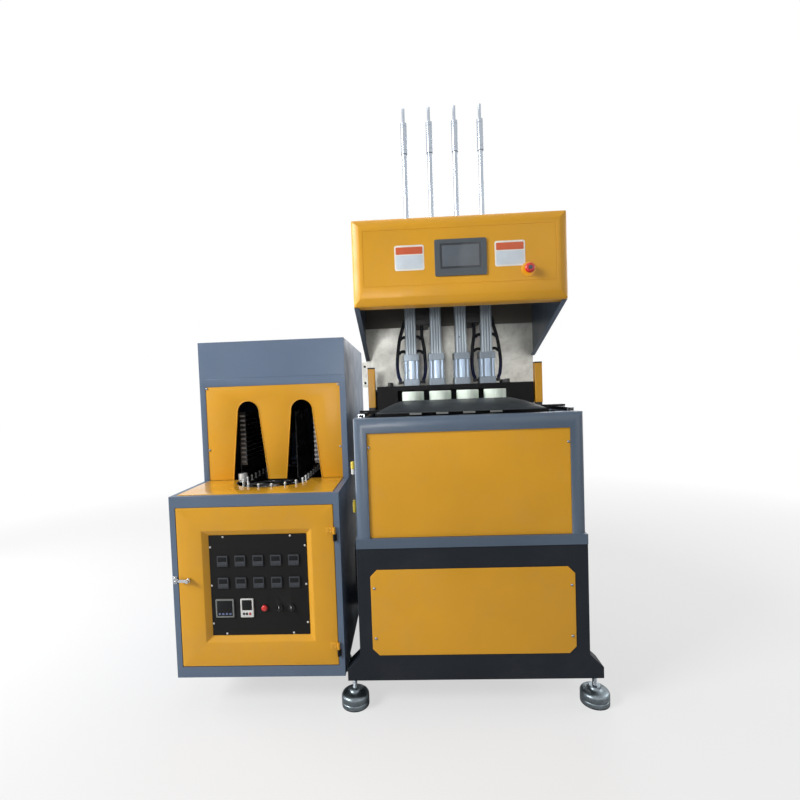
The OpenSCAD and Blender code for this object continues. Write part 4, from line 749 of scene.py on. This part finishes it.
def shieldSheet():
    s = shield
    t = np.linspace(0, 1, 25)[:, None]
    u = np.linspace(-1, 1, 33)[None, :]
    y = s["front"] + (s["back"] - s["front"]) * t + 0 * u
    half = s["wide"] + (s["narrow"] - s["wide"]) * t
    z = s["low"] + (s["high"] - s["low"]) * t + s["crown"] * 4 * t * (1 - t) + 0 * u
    # the front lip and both sides roll down over the last millimetres
    edge = np.minimum((y - s["front"]) / s["lip"], (1 - np.abs(u)) * half / s["lip"])
    z = z - s["lipDrop"] * (1 - np.clip(edge, 0, 1)) ** 2
    top = np.stack([s["middle"] + half * u, y, z], -1)
    parts = thinSheet(blower, (top, top - [0, 0, s["thick"]]))
    for x in (s["middle"] - s["lugs"], s["middle"] + s["lugs"]):
        box = (x - s["lugHalf"], x + s["lugHalf"], *s["lugHeights"])
        parts.append(plate(blower, box, 1, *s["lugFaces"], 0.8))
    left, right, low, high = s["foot"]
    ends = []
    for i in range(s["feet"]):
        x = s["middle"] + (i - (s["feet"] - 1) / 2) * s["feetPitch"]
        ends.append(plate(blower, (x - left, x + right, s["low"] - low, s["low"] - high), 2,
                          s["front"] + s["footDeep"], s["front"], 0.8))
    piece("shieldFeet", ends, "lightFrame", "clamp_slide_group")
    piece("shieldSheet", parts, "shield", "clamp_slide_group", ("shield_plate",), weld=True)


shieldSheet()

# seal and stretch cylinders: screws in the caps' corners, round ports, and the profiles' ribs; the ribs take
# a finish lighter than the cylinders' own as a painted highlight, so that the grooves between them read as
# painted shade
cylinders = dict(y=510, capHalf=42, capTop=1577, corner=33, barrel=(1448.4, 1542.6), top=2050,
                 topCorner=20, portHeights=(1430, 1560), ribRoot=1.6, sealHalf=36.5,
                 sealRibs=((-28.4, 8, 1.6), (0, 30, 2.6), (28.4, 8, 1.6)), stretch=(1577.4, 2019.6),
                 stretchHalf=27.5, stretchRibs=[(x, 9.4, 1.7) for x in (-20.6, -7, 7, 20.6)])
portProfile = [(1, -4), (8, -4), (8, 0.4), (6.6, 0.9), (5, 0.9), (4.6, -1.6), (1, -1.6)]
stationY = cylinders["y"]
ports = []
capScrews = []
for x in seats["stations"]:
    for sx in (-1, 1):
        for sy in (-1, 1):
            for out, z, r, high in ((cylinders["corner"], cylinders["capTop"] - 1.5, 5, 5),
                                    (cylinders["topCorner"], cylinders["top"] - 0.8, 4, 4)):
                capScrews.append(capScrew(blower, (x + sx * out, stationY + sy * out, z), r, high))
        for z in cylinders["portHeights"]:
            place = (x + sx * cylinders["capHalf"], stationY, z)
            ports.append(lathe(blower, portProfile, place, "x" if sx > 0 else "left", 24))


def ribs(places, half, span):
    # a rib's outline is half an ellipse over its width, set into the face; it is carried up the cylinder
    parts = []
    a = np.linspace(0, np.pi, 9)
    root = half - cylinders["ribRoot"]
    for x in seats["stations"]:
        for turn in range(4):
            c, s = math.cos(turn * np.pi / 2), math.sin(turn * np.pi / 2)
            for middle, wide, rise in places:
                across = np.append(middle + wide / 2 * np.cos(a), [middle - wide / 2, middle + wide / 2])
                out = np.append(half + rise * np.sin(a), [root, root])
                loop = np.stack([across * c - out * s + x, across * s + out * c + stationY], -1)
                parts.append(surface([blower(lift(loop, z, "z")) for z in span]))
    return parts


piece("cylinderCapScrews", capScrews, "zinc")
q = cylinders
# ribs in the lighter finishes: painted highlight against the cylinders' darker grooves
piece("stretchRibs", ribs(q["stretchRibs"], q["stretchHalf"], q["stretch"]), "stretchRib")
piece("sealRibs", ribs(q["sealRibs"], q["sealHalf"], q["barrel"]), "sealRib")
piece("cylinderPorts", ports, "brass")

# stretch rods: ground rods with the piston, the stop sleeve and the turned tip
rods = dict(tip=1400, r=6, piston=2003, pistonTall=20, pistonRadius=22.7, upper=12.5, sleeve=16.5,
            sleeveLow=238, sleeveHigh=78, top=2860)
r, piston, wide, upper, sleeve = (rods[k] for k in ("r", "piston", "pistonRadius", "upper", "sleeve"))
low, high, top = rods["top"] - rods["sleeveLow"], rods["top"] - rods["sleeveHigh"], rods["top"]
pistonEnd = piston + rods["pistonTall"]
grooves = [(sleeve - deep, z + dz) for z in (low + 18, high - 22)
           for deep, dz in ((0, 0), (0.8, 1), (0.8, 3), (0, 4))]
ball = [(r * math.sin(a), rods["tip"] + r * (1 - math.cos(a))) for a in np.linspace(0.12, np.pi / 2, 7)]
profile = [*ball, (r, piston), (wide, piston), (wide, pistonEnd), (upper, pistonEnd), (upper, low),
           (sleeve - 1, low), (sleeve, low + 1), *grooves, (sleeve, high - 1), (sleeve - 1, high), (8, high),
           (8, top - 3), (6, top), (1, top)]
for k, x in enumerate(seats["stations"], 1):
    rod = lathe(blower, profile, (x, stationY, 0), turns=48)
    piece(f"stretchRod{k}", [rod], "rodSteel", f"stretch_rod_{k}", (f"stretch_rod_{k}",))

# air tubes beside the first and the last station: outward distance and height over the bridge
tubes = dict(base=1413,
             outer=[(36, 338), (36, 330), (38.5, 313), (46, 290), (56, 255), (63, 222), (67, 195)],
             inner=[(60, 319), (60, 300), (60, 280), (61, 255), (65, 228), (70, 195)],
             foot=[(72, 160), (75, 120), (74, 85), (69, 50), (63.5, 37), (62, 31), (62, 28)],
             upper=[(28.5, 258), (37, 258.5), (46, 254), (55, 245)],
             lower=[(28.5, 181), (42, 183.5), (55, 180), (65, 170)],
             hoseRadius=8.8, linkRadius=7.8, valve=(27.5, 345), port=(42, 18), bodyOut=62)
# profiles of the push-in fittings: the arm is a hexagon at the port, the body carries the release collar
collar = [(2, -3), (8.6, -3), (9.2, -2), (9.2, 1), (2, 1)]
valveElbow = [(1, 0), (7.6, 0), (7.6, 3), (6.8, 4), (6.8, 12), (5.8, 13), (1, 13)]
valveCuff = [(2, 0), (6.9, 0), (6.9, 9), (6, 10), (2, 10)]
linkCuff = [(1, 0), (8.6, 0), (8.6, 4), (7.6, 5), (7.6, 9), (6.8, 10), (1, 10)]
arm = [(8.4, 0, 1), (8.4, 6, 1), (6.6, 7, 0), (6.6, 20, 0), (2, 20, 0)]
elbowBody = [(2, 9.5), (7.5, 9.5), (9.6, 11), (9.6, 24), (9.2, 24.6), (8.6, 24.8), (8.6, 29.6), (8, 30),
             (2, 30)]
hoses = []
fittings = []


def fitting(profile, out, height, axis="z", turns=28, make=lathe):
    # out is measured from the station's line, with its sign
    place = (x + out, stationY, tubes["base"] + height)
    fittings.append(make(blower, profile, place, axis, turns=turns))


for x in (seats["stations"][0], seats["stations"][-1]):
    for side in (-1, 1):
        origin = (x, stationY, tubes["base"])
        sideways = "x" if side > 0 else "left"
        # the side away from the other stations has the tube that ends in the valve block
        outward = side * (x - seats["stations"][1]) > 0
        route = tubes["outer" if outward else "inner"] + tubes["foot"]
        hoses.append(tube(blower, smoothPath(route), tubes["hoseRadius"], origin, side, 18))
        topX, topZ = route[0]
        fitting(collar, side * topX, topZ)
        if outward:
            valveX, valveZ = tubes["valve"]
            fitting(valveElbow, side * valveX, valveZ, sideways, 24)
            fitting(valveCuff, side * topX, topZ, turns=24)
        for link in (tubes["upper"], tubes["lower"]):
            hoses.append(tube(blower, smoothPath(link), tubes["linkRadius"], origin, side, 16))
            fitting(linkCuff, side * (link[0][0] - 1), link[0][1], sideways, 24)
        portX, portZ = tubes["port"]
        fitting(arm, side * portX, portZ, sideways, 24, turned)
        fitting(elbowBody, side * tubes["bodyOut"], 0)
piece("airTubes", hoses, "rubber", replaced=("air_hoses",))
piece("pushFittings", fittings, "blackPlastic", replaced=("hose_fittings",))

# bolts on the bridge, and screws on the bracket
bolts = dict(bridge=((-336, 480), (276, 480), (-336, 612), (276, 612)), bridgeTop=1413,
             bracket=((-486, 1441), (-486, 1535)), bracketFace=691)
parts = [hexBolt(blower, (x, y, bolts["bridgeTop"]), 25, 20) for x, y in bolts["bridge"]]
parts += [domeScrew(blower, (x, bolts["bracketFace"], z), r=7, high=5) for x, z in bolts["bracket"]]
piece("stationBolts", parts, "blackPlastic")

# two small fittings on the housing's left wall, each with a stub into the wall
wallParts = dict(wall=-487, reach=10, y=46, valve=(1028, 1053, 1085), sensor=(860, 915))
wall, reach, y = wallParts["wall"], wallParts["reach"], wallParts["y"]
stub = [(1, 0), (5.5, 0), (5.5, reach), (1, reach)]
place = (wall - reach, y, 0)

low, middle, high = wallParts["valve"]
body = [(1, low), (6, low), (7, low + 1), (8.5, low + 4), (8.5, middle - 1), (7.5, middle), (1, middle)]
cap = [(1, middle), (9.6, middle), (9.6, high - 4), (9, high - 1.4), (6, high), (1, high)]
bodies = [lathe(blower, body, place), lathe(blower, stub, (wall, y, (low + middle) / 2), "left")]
low, high = wallParts["sensor"]
tip = [(1, low), (5, low), (7.4, low + 3), (7.4, high - 12), (5.6, high - 10), (5.6, high - 1), (1, high)]
caps = [lathe(blower, cap, place), lathe(blower, tip, place),
        lathe(blower, stub, (wall, y, (low + high) / 2), "left")]
piece("wallValves", bodies, "whiteFrame")
piece("wallCaps", caps, "limeCap")

# bolts in front of the upper rails
railBolts = dict(x=455, y=57, level=1274, washer=2.2)
washer = [(3, 0), (10.5, 0), (10.5, 1.8), (9.8, 2.4), (3, 2.4)]
places = [(side * railBolts["x"], railBolts["y"], railBolts["level"]) for side in (-1, 1)]
piece("railWashers", [lathe(blower, washer, place) for place in places], "chrome")
piece("railBolts", [capScrew(blower, (x, y, z + railBolts["washer"]), 8, 10) for x, y, z in places],
      "blackPlastic")

# light curtain posts: dark lens strips in the channels that face each other
posts = dict(x=433, y=475, low=1306, high=1506, channel=15.5, lensHalf=7.8, lensThick=1.2)
y, half = posts["y"], posts["lensHalf"]
outline = roundedLoop(y - half, y + half, posts["low"], posts["high"], 1)
lenses = []
for side in (-1, 1):
    inner = side * (posts["x"] - posts["channel"])
    lenses.append(slab(blower, outline, roundEdge(inner, inner - side * posts["lensThick"], 0.4), "x"))
piece("curtainLenses", lenses, "lens")
print("stage: stations")


# door: one tray; from the back edge round the face, down the sloping recess, and back behind it
door = dict(half=348, low=197, high=906, deep=25, sheet=2.5, fold=3,
            recess=(-212, 223, 329, 778), rim=25, recessDeep=18, ledge=8, hingeX=351,
            hingeY=-6.3, knuckle=6, pin=3.3, upperLeaves=(269.5, 778.5), leafTall=29.5, leafWide=34)


def doorTray():
    d = door
    w, t = d["half"], d["sheet"]
    x0, x1, z0, z1 = d["recess"]
    rim, deep, ledge = d["rim"], d["recessDeep"], -d["ledge"]

    def outer(inset, y, r):
        return heater(lift(roundedLoop(-w + inset, w - inset, d["low"] + inset, d["high"] - inset, r), y))

    def well(grow, y, r):
        return heater(lift(roundedLoop(x0 - grow, x1 + grow, z0 - grow, z1 + grow, r), y))

    rows = [outer(0, d["deep"], 3)]
    rows += [outer(d["fold"] * (1 - math.cos(a)), d["fold"] * (1 - math.sin(a)), 3)
             for a in np.linspace(0, np.pi / 2, 5)]
    rows += [well(*row) for row in (
        (rim + 3, 0, 5), (rim + 0.6, 0.35, 4.6), (rim - 1.6, 1.5, 4.2), (1.4, deep - 0.9, 2.4),
        (0.2, deep - 0.1, 2.2), (ledge, deep, 2), (ledge, deep + t, 2), (t, deep + t, 2.4),
        (rim + t, t, 5))]
    rows += [outer(t, t, 2), outer(t, d["deep"], 2)]
    parts = [surface(rows, wrapRows=True)]
    pin, knuckle, tall = d["pin"], d["knuckle"], d["leafTall"]
    ring = [(pin, 0), (knuckle - 0.5, 0), (knuckle, 0.5), (knuckle, tall - 0.5), (knuckle - 0.5, tall),
            (pin, tall)]
    for z in d["upperLeaves"]:
        parts.append(lathe(heater, ring, (d["hingeX"], d["hingeY"], z), ring=True))
        parts.append(plate(heater, (w - d["leafWide"], d["hingeX"], z, z + tall), 2, 0, -t, 0.6))
    piece("doorTray", parts, "yellow", "door_group", ("door",))


doorTray()

# screws round the control panel, and those of the hinge leaves
panel = dict(face=15, sideInset=(-206.5, 215.5), sides=(725.5, 553.5, 383), ends=(-148, 152),
             endHeights=(770.5, 336.5), leafColumns=(322, 336), leafRows=(8, 21.5))
spots = [(x, z) for x in panel["sideInset"] for z in panel["sides"]]
spots += [(x, z) for x in panel["ends"] for z in panel["endHeights"]]
screws = [domeScrew(heater, (x, panel["face"], z), r=4.6, high=2.6) for x, z in spots]
piece("panelScrews", screws, "whiteFrame", "door_group")
spots = [(x, z + dz) for z in door["upperLeaves"] for x in panel["leafColumns"] for dz in panel["leafRows"]]
screws = [domeScrew(heater, (x, -door["sheet"], z), r=3.4, high=1.6) for x, z in spots]
piece("leafScrews", screws, "hinge", "door_group")

# keeper plate on the cabinet, and the latch's knob
keeper = dict(x=-363, z=588, wide=16.6, high=34.6, corner=3.3, thick=2.9, screwFace=-2.8,
              heights=(579, 597))
place = (keeper["x"], keeper["z"], keeper["wide"], keeper["high"])
piece("keeperPlate", [badge(heater, place, keeper["corner"], 0, -keeper["thick"], 0.7)], "chrome")
piece("keeperScrews", [domeScrew(heater, (keeper["x"], keeper["screwFace"], z), r=5.6, high=4)
                       for z in keeper["heights"]], "chrome")
latchKnob = dict(place=(-301, 0, 588),
                 profile=[(1, 15.8), (7.4, 15.8), (7.4, 17), (6.2, 18), (6.2, 21), (8.2, 22.6), (8.4, 24.6),
                          (7.4, 26.4), (4.5, 27.4), (1, 27.6)])
knob = lathe(heater, latchKnob["profile"], latchKnob["place"], "front")
piece("latchKnob", [knob], "chrome", "door_latch")

# panel meters: a rounded bezel, a sunk dark window, a row of keys, and the body behind the sheet
meters = dict(columns=(-153.5, -74, 5.5, 85, 164.5), rows=(663, 565), size=48, face=9, back=15,
              body=60, glass=(2, 1.2), window=(-0.05, 0.36, 0.38), keyPitch=10.2, keyDrop=13,
              barDrop=19.5, displayKeys=16, timerKeys=(-14.5, -1.5), redKey=13,
              display=(-151.5, 452, 82, 82), displayWindow=(-34.4, 34.4, 34.4),
              timer=(-52, 452, 58, 83), timerWindow=(-9.9, 35.7, 22), lowKeys=25)
face = meters["face"]


def meterShell(place, low, top, half):
    # bezel: square to the sheet, rounded in front, then down into the window
    x, z, wide, high = place
    back = meters["back"]
    rows = [(4, 1.5, back + meters["body"]), (4, 1.5, back), (0, 3.5, back), (0, 3.5, face + 1.8),
            (0.6, 3.3, face + 0.6), (2.4, 2.6, face)]
    rings = [lift(aroundPoint(x, z, wide - less, high - less, corner), y) for less, corner, y in rows]
    for grow, y in ((1, face), (0.4, face + 0.4), (0, face + 2)):
        side = half + grow
        rings.append(lift(roundedLoop(x - side, x + side, z + low - grow, z + top + grow, 1.2), y))
    return surface([heater(ring) for ring in rings])


def meterWindow(place, low, top, half):
    x, z = place[:2]
    back, front = meters["glass"]
    return plate(heater, (x - half, x + half, z + low, z + top), 1.2, face + back, face + front, 0.2, 2)


def keyPad(x, z, wide, high, level=face):
    return badge(heater, (x, z, wide, high), min(wide, high) * 0.25, level + 0.5, level - 0.9, 0.5, 3, 4)


size = meters["size"]
window = [size * share for share in meters["window"]]
places = [(x, z, size, size) for x in meters["columns"] for z in meters["rows"]]
keys = []
for x, z, *_ in places:
    keys += [keyPad(x + (i - 1.5) * meters["keyPitch"], z - meters["keyDrop"], 7.6, 5.2) for i in range(4)]
    keys.append(keyPad(x, z - meters["barDrop"], 20, 1.6))
display, timer = meters["display"], meters["timer"]
windows = [meterWindow(place, *window) for place in places]
windows += [meterWindow(display, *meters["displayWindow"]), meterWindow(timer, *meters["timerWindow"])]
lowZ = display[1] - meters["lowKeys"]
displayKeys = [keyPad(display[0] + (i - 1.5) * meters["displayKeys"], lowZ, 10, 8, face + 1.2)
               for i in range(4)]
timerKeys = [keyPad(timer[0] + out, lowZ, 10, 11) for out in meters["timerKeys"]]
piece("meterBezels", [meterShell(place, *window) for place in places], "bezel", "door_group", ("meters",))
piece("meterWindows", windows, "glass", "door_group")
piece("meterKeys", keys, "keys", "door_group")
piece("displayFrame", [meterShell(display, *meters["displayWindow"])], "lightFrame", "door_group")
piece("displayKeys", displayKeys, "blueKeys", "door_group")
piece("timerFrame", [meterShell(timer, *meters["timerWindow"])], "whiteFrame", "door_group")
piece("timerKeys", timerKeys, "blackPlastic", "door_group")
piece("timerRedKey", [keyPad(timer[0] + meters["redKey"], lowZ, 9, 11)], "redKey", "door_group")

# stop button and the selectors' pointers
button = dict(place=(26, 15, 451), radius=13, rise=6.2, shoulder=8, stem=16, knobs=(93, 147),
              pointerZ=457)
r, shoulder = button["radius"], button["shoulder"]
dome = [(r * math.cos(a), shoulder + button["rise"] * math.sin(a)) for a in np.linspace(0.25, 1.48, 8)]
profile = [(1, -button["stem"]), (r, -button["stem"]), (r, shoulder), *dome]
piece("stopDome", [lathe(heater, profile, button["place"], "front")], "red", "stop_button", ("stop_button",))
for k, x in enumerate(button["knobs"], 1):
    pointer = badge(heater, (x, button["pointerZ"], 2.4, 9), 1, -0.9, -1.3, 0.2, 2, 4)
    piece(f"selectorMark{k}", [pointer], "whiteFrame", f"selector_{k}")
print("stage: door and panel")


# arch panel: one outline with both arches, its edge rounded, and a rolled bead round each arch
arch = dict(half=346, low=960, high=1441, front=363, back=366, centres=(-129, 147), radius=54,
            spring=1308, footHalf=89.67, bead=2.6, beadFront=0.6)


def archPath(x, grow=0):
    # up the left side, half a circle over the top, down the right side
    a = np.linspace(np.pi, 0, 25)
    r, foot = arch["radius"] + grow, arch["footHalf"] + grow
    top = np.stack([x + r * np.cos(a), arch["spring"] + r * np.sin(a)], -1)
    return np.vstack([[x - foot, arch["low"]], top, [x + foot, arch["low"]]])


half, low, high = arch["half"], arch["low"], arch["high"]
outline = np.vstack([[-half, low], archPath(arch["centres"][0]), archPath(arch["centres"][1]),
                     [half, low], [half, high], [-half, high]])
archParts = [slab(heater, outline, roundEdge(arch["back"], arch["front"], 0.9, foot=0.3))]
for x in arch["centres"]:
    path = archPath(x, arch["bead"])
    up, down = np.linspace(path[0], path[1], 12), np.linspace(path[-2], path[-1], 12)
    even = np.concatenate([up[:-1], path[1:-1], down[1:]])
    archParts.append(tube(heater, even, arch["bead"], (0, arch["front"] + arch["beadFront"], 0), 1, 12))
piece("archPanel", archParts, "yellow", replaced=("arch_panel",))

# table: glossy sheet with the round slot of the preform line
table = dict(half=347, front=22, back=360, level=957, thick=3, slot=180.9, slotY=327)
half, front, back, slot = (table[k] for k in ("half", "front", "back", "slot"))
a = np.linspace(0, -np.pi, 49)
slotEdge = np.stack([slot * np.cos(a), table["slotY"] + slot * np.sin(a)], -1)
outline = np.vstack([[-half, front], [half, front], [half, back], [slot, back], slotEdge, [-slot, back],
                     [-half, back]])
section = roundEdge(table["level"], table["level"] + table["thick"], 1.4)
piece("tableTop", [slab(heater, outline, section, "z")], "tableYellow", replaced=("table_top",))

# ceramic ends of the lamps, flat blocks with their wire tabs
lamps = dict(middle=9, x=194, first=1045, pitch=24, count=11, front=424, back=438, tab=8)
ends = []
front = lamps["front"]
for x in (lamps["middle"] - lamps["x"], lamps["middle"] + lamps["x"]):
    for k in range(lamps["count"]):
        z = lamps["first"] + lamps["pitch"] * k
        ends.append(badge(heater, (x, z, 24, 9), 2, lamps["back"], front, 1, 3, 4))
        ends.append(badge(heater, (x, z, 6, 1.2), 0.4, front, front - lamps["tab"], 0.3, 2, 3))
piece("lampEnds", ends, "ceramic")

# carriers of the preform line: one turned profile at every second pair of chain pins
line = dict(radius=151.87, teeth=30, run=23, pitch=31.75, frontY=327, level=943,
            spindle=[(1, 0), (6.7, 0), (7, 0.4), (7, 2.7), (6.5, 3.4), (4.6, 5), (4.6, 19), (5.8, 21),
                     (6, 23.5), (5.8, 26), (4.9, 28), (3.8, 29), (1, 29)])


def carriers():
    # pins: half a circle at the front sprocket, a straight run, half a circle at the back, and the run home
    q = line
    r, run = q["radius"], q["run"]
    backY = q["frontY"] + run * q["pitch"]
    turn = np.radians(np.arange(q["teeth"] // 2 + 1) * 360 / q["teeth"])
    steps = np.arange(1, run) * q["pitch"]
    side = np.full(run - 1, r)
    pins = [(-r * np.cos(turn), q["frontY"] - r * np.sin(turn)), (side, q["frontY"] + steps),
            (r * np.cos(turn), backY + r * np.sin(turn)), (-side, backY - steps)]
    pins = np.vstack([np.stack(pair, -1) for pair in pins])
    middle = (pins + np.roll(pins, -1, 0))[::2] / 2
    piece("carrierSpindles", [lathe(heater, q["spindle"], (x, y, q["level"]), turns=16) for x, y in middle],
          "white", replaced=("preform_carriers",))


carriers()

# white roller that guides the preforms in front of the left run
roller = dict(place=(-184.87, 395, 0), low=943, high=988, radius=23.3)
r, low, high = roller["radius"], roller["low"], roller["high"]
profile = [(1, low - 0.3), (r - 1.6, low - 0.3), (r, low + 1.3), (r, high - 2.4), (r - 0.7, high - 0.7),
           (r - 2.4, high + 0.3), (7, high + 0.3), (6.4, high - 1.2), (1, high - 1.2)]
piece("guideRoller", [lathe(heater, profile, roller["place"], turns=48)], "white")

# dark filter sheet on the inside of the oven's rear wall, behind its louvres
ovenRear = (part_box("oven_hood")[1][1] - heaterOrigin[1]) / millimetre
filterSheet = dict(box=(-160, 160, 1120, 1372), wall=5, thick=2)
back = ovenRear - filterSheet["wall"]
piece("ovenFilter", [plate(heater, filterSheet["box"], 4, back, back - filterSheet["thick"], 0.5)], "black")
print("stage: oven and preform line")


# pressed louvres over the slots at the hood's back, in the oven's back and in the cabinet's side:
# start and end along the wall, the wall's face, the lowest slot, the pitch and the number of slots
louvres = dict(tall=15, out=7, thick=1, rows=(
    ("hoodLouvres", blower, "deck", "y", (-150, 150, 763), (1828, 28, 8)),
    ("ovenLouvres", heater, "ovenBlue", "y", (-140, 140, ovenRear), (1137, 30, 8)),
    ("cabinetLouvres", heater, "frameBlue", "x", (500, 800, 375), (327, 24, 10))))


def louvreBlade(start, end, face, slotLow, axis):
    # bulge = out * sin(half of pi * v) down the blade, brought to nothing at both ends by
    # the root of 1 - |2u - 1| to the sixth
    u = np.linspace(0, 1, 25)[:, None]
    v = np.linspace(0, 1, 7)[None, :]
    taper = np.sqrt(np.clip(1 - np.abs(2 * u - 1) ** 6, 0, 1))
    along = start + (end - start) * u + 0 * v
    height = slotLow + louvres["tall"] - (louvres["tall"] - 2) * v + 0 * u
    skins = []
    for inset, least in ((0, 0.05), (louvres["thick"], -0.4)):
        out = face + np.maximum(louvres["out"] * np.sin(np.pi / 2 * v) * taper - inset, least)
        skins.append(np.stack([along, out, height] if axis == "y" else [out, along, height], -1))
    return skins


for name, where, key, axis, wall, (lowest, pitch, count) in louvres["rows"]:
    parts = []
    for k in range(count):
        parts += thinSheet(where, louvreBlade(*wall, lowest + pitch * k, axis))
    piece(name, parts, key, weld=True)
print("stage: louvres")


# room and light
room = dict(half=40, floor=0.6, glow=0.62, near=2.2, far=5.5, air=0.1)


def floorPaint(name, value, glow):
    # a pale surface that the camera sees nearly white, and that still takes a shadow
    made = Finish(name, 0.9)
    tone = made.mix(made.ramp(made.noise(0.6, 2), 0, 1), (value, value, value, 1),
                    (value * 0.99, value * 0.99, value, 1))
    made.colour(tone)
    path = made.add("ShaderNodeLightPath")
    light = made.add("ShaderNodeEmission")
    blend = made.add("ShaderNodeMixShader")
    # further from the middle the camera sees more of the even white
    far = made.add("ShaderNodeVectorMath", operation="LENGTH")
    made.join(made.coord.outputs["Object"], far.inputs[0])
    scaled = made.add("ShaderNodeMath", operation="MULTIPLY")
    made.join(made.ramp(far.outputs["Value"], glow, 1, room["near"], room["far"]), scaled.inputs[1])
    made.join(path.outputs["Is Camera Ray"], scaled.inputs[0])
    for slot, source in enumerate((scaled, made.shader, light)):
        made.join(source.outputs[0], blend.inputs[slot])
    made.join(blend.outputs[0], made.tree.nodes["Material Output"].inputs["Surface"])
    return made.material


half = room["half"]
floorMesh = bpy.data.meshes.new("studioFloor")
floorCorners = [(-half, -half, 0), (half, -half, 0), (half, half, 0), (-half, half, 0)]
floorMesh.from_pydata(floorCorners, [], [(0, 1, 2, 3)])
floor = bpy.data.objects.new("studioFloor", floorMesh)
scene.collection.objects.link(floor)
floorMesh.materials.append(floorPaint("floorPaint", room["floor"], room["glow"]))

# the air is white to the camera, to glossy and to clear surfaces, and dim as a light
world = bpy.data.worlds.new("studioAir")
scene.world = world
world.use_nodes = True
air = world.node_tree
sky = air.nodes["Background"]
sky.inputs["Color"].default_value = (1, 1, 1, 1)
path = air.nodes.new("ShaderNodeLightPath")
seen = air.nodes.new("ShaderNodeMath")
seen.operation = "MAXIMUM"
mirrored = air.nodes.new("ShaderNodeMath")
mirrored.operation = "MAXIMUM"
level = air.nodes.new("ShaderNodeMapRange")
level.inputs["To Min"].default_value = room["air"]
level.inputs["To Max"].default_value = 1
for source, target in ((path.outputs["Is Camera Ray"], seen.inputs[0]),
                       (path.outputs["Is Glossy Ray"], mirrored.inputs[0]),
                       (path.outputs["Is Transmission Ray"], mirrored.inputs[1]),
                       (mirrored.outputs[0], seen.inputs[1]), (seen.outputs[0], level.inputs["Value"]),
                       (level.outputs["Result"], sky.inputs["Strength"])):
    air.links.new(source, target)

# soft boxes: place, the point they look at, width, power, spread in degrees and height over width
lights = (
    ("keySoftbox", (-7, -4.3, 5), (0.2, -0.4, 1.3), 3.2, 800, 180, 1),
    ("fillSoftbox", (2.6, -4.8, 2.8), (0.3, -0.3, 1.6), 2.8, 22, 180, 1),
    ("bayLight", tuple(blower((-800, -2900, 1600))), tuple(blower((-80, 740, 1520))), 0.8, 0.5, 20, 1),
    ("leftSoftbox", (-4.2, 0.1, 1.9), (0.2, -0.3, 1.7), 2, 125, 180, 1.6),
    ("rightSoftbox", (4.2, 0.1, 2.3), (0.2, -0.3, 1.7), 2, 50, 180, 1),
    ("topSoftbox", (0, 0.5, 5.2), (0, 0, 1), 3, 50, 180, 1),
    ("rearSoftbox", (1.5, 4.5, 3.6), (0, 0, 1.2), 3, 90, 180, 1),
)
for lampName, place, aim, size, power, spread, tall in lights:
    data = bpy.data.lights.new(lampName, "AREA")
    data.energy = power
    data.shape = "RECTANGLE"
    data.size = size
    data.size_y = size * tall
    data.spread = math.radians(spread)
    lampObj = bpy.data.objects.new(lampName, data)
    lampObj.location = place
    toX, toY, toZ = np.array(aim) - np.array(place)
    lampObj.rotation_euler = (math.atan2(math.hypot(toX, toY), -toZ), 0, math.atan2(toY, toX) - math.pi / 2)
    scene.collection.objects.link(lampObj)
print("stage: room and light")
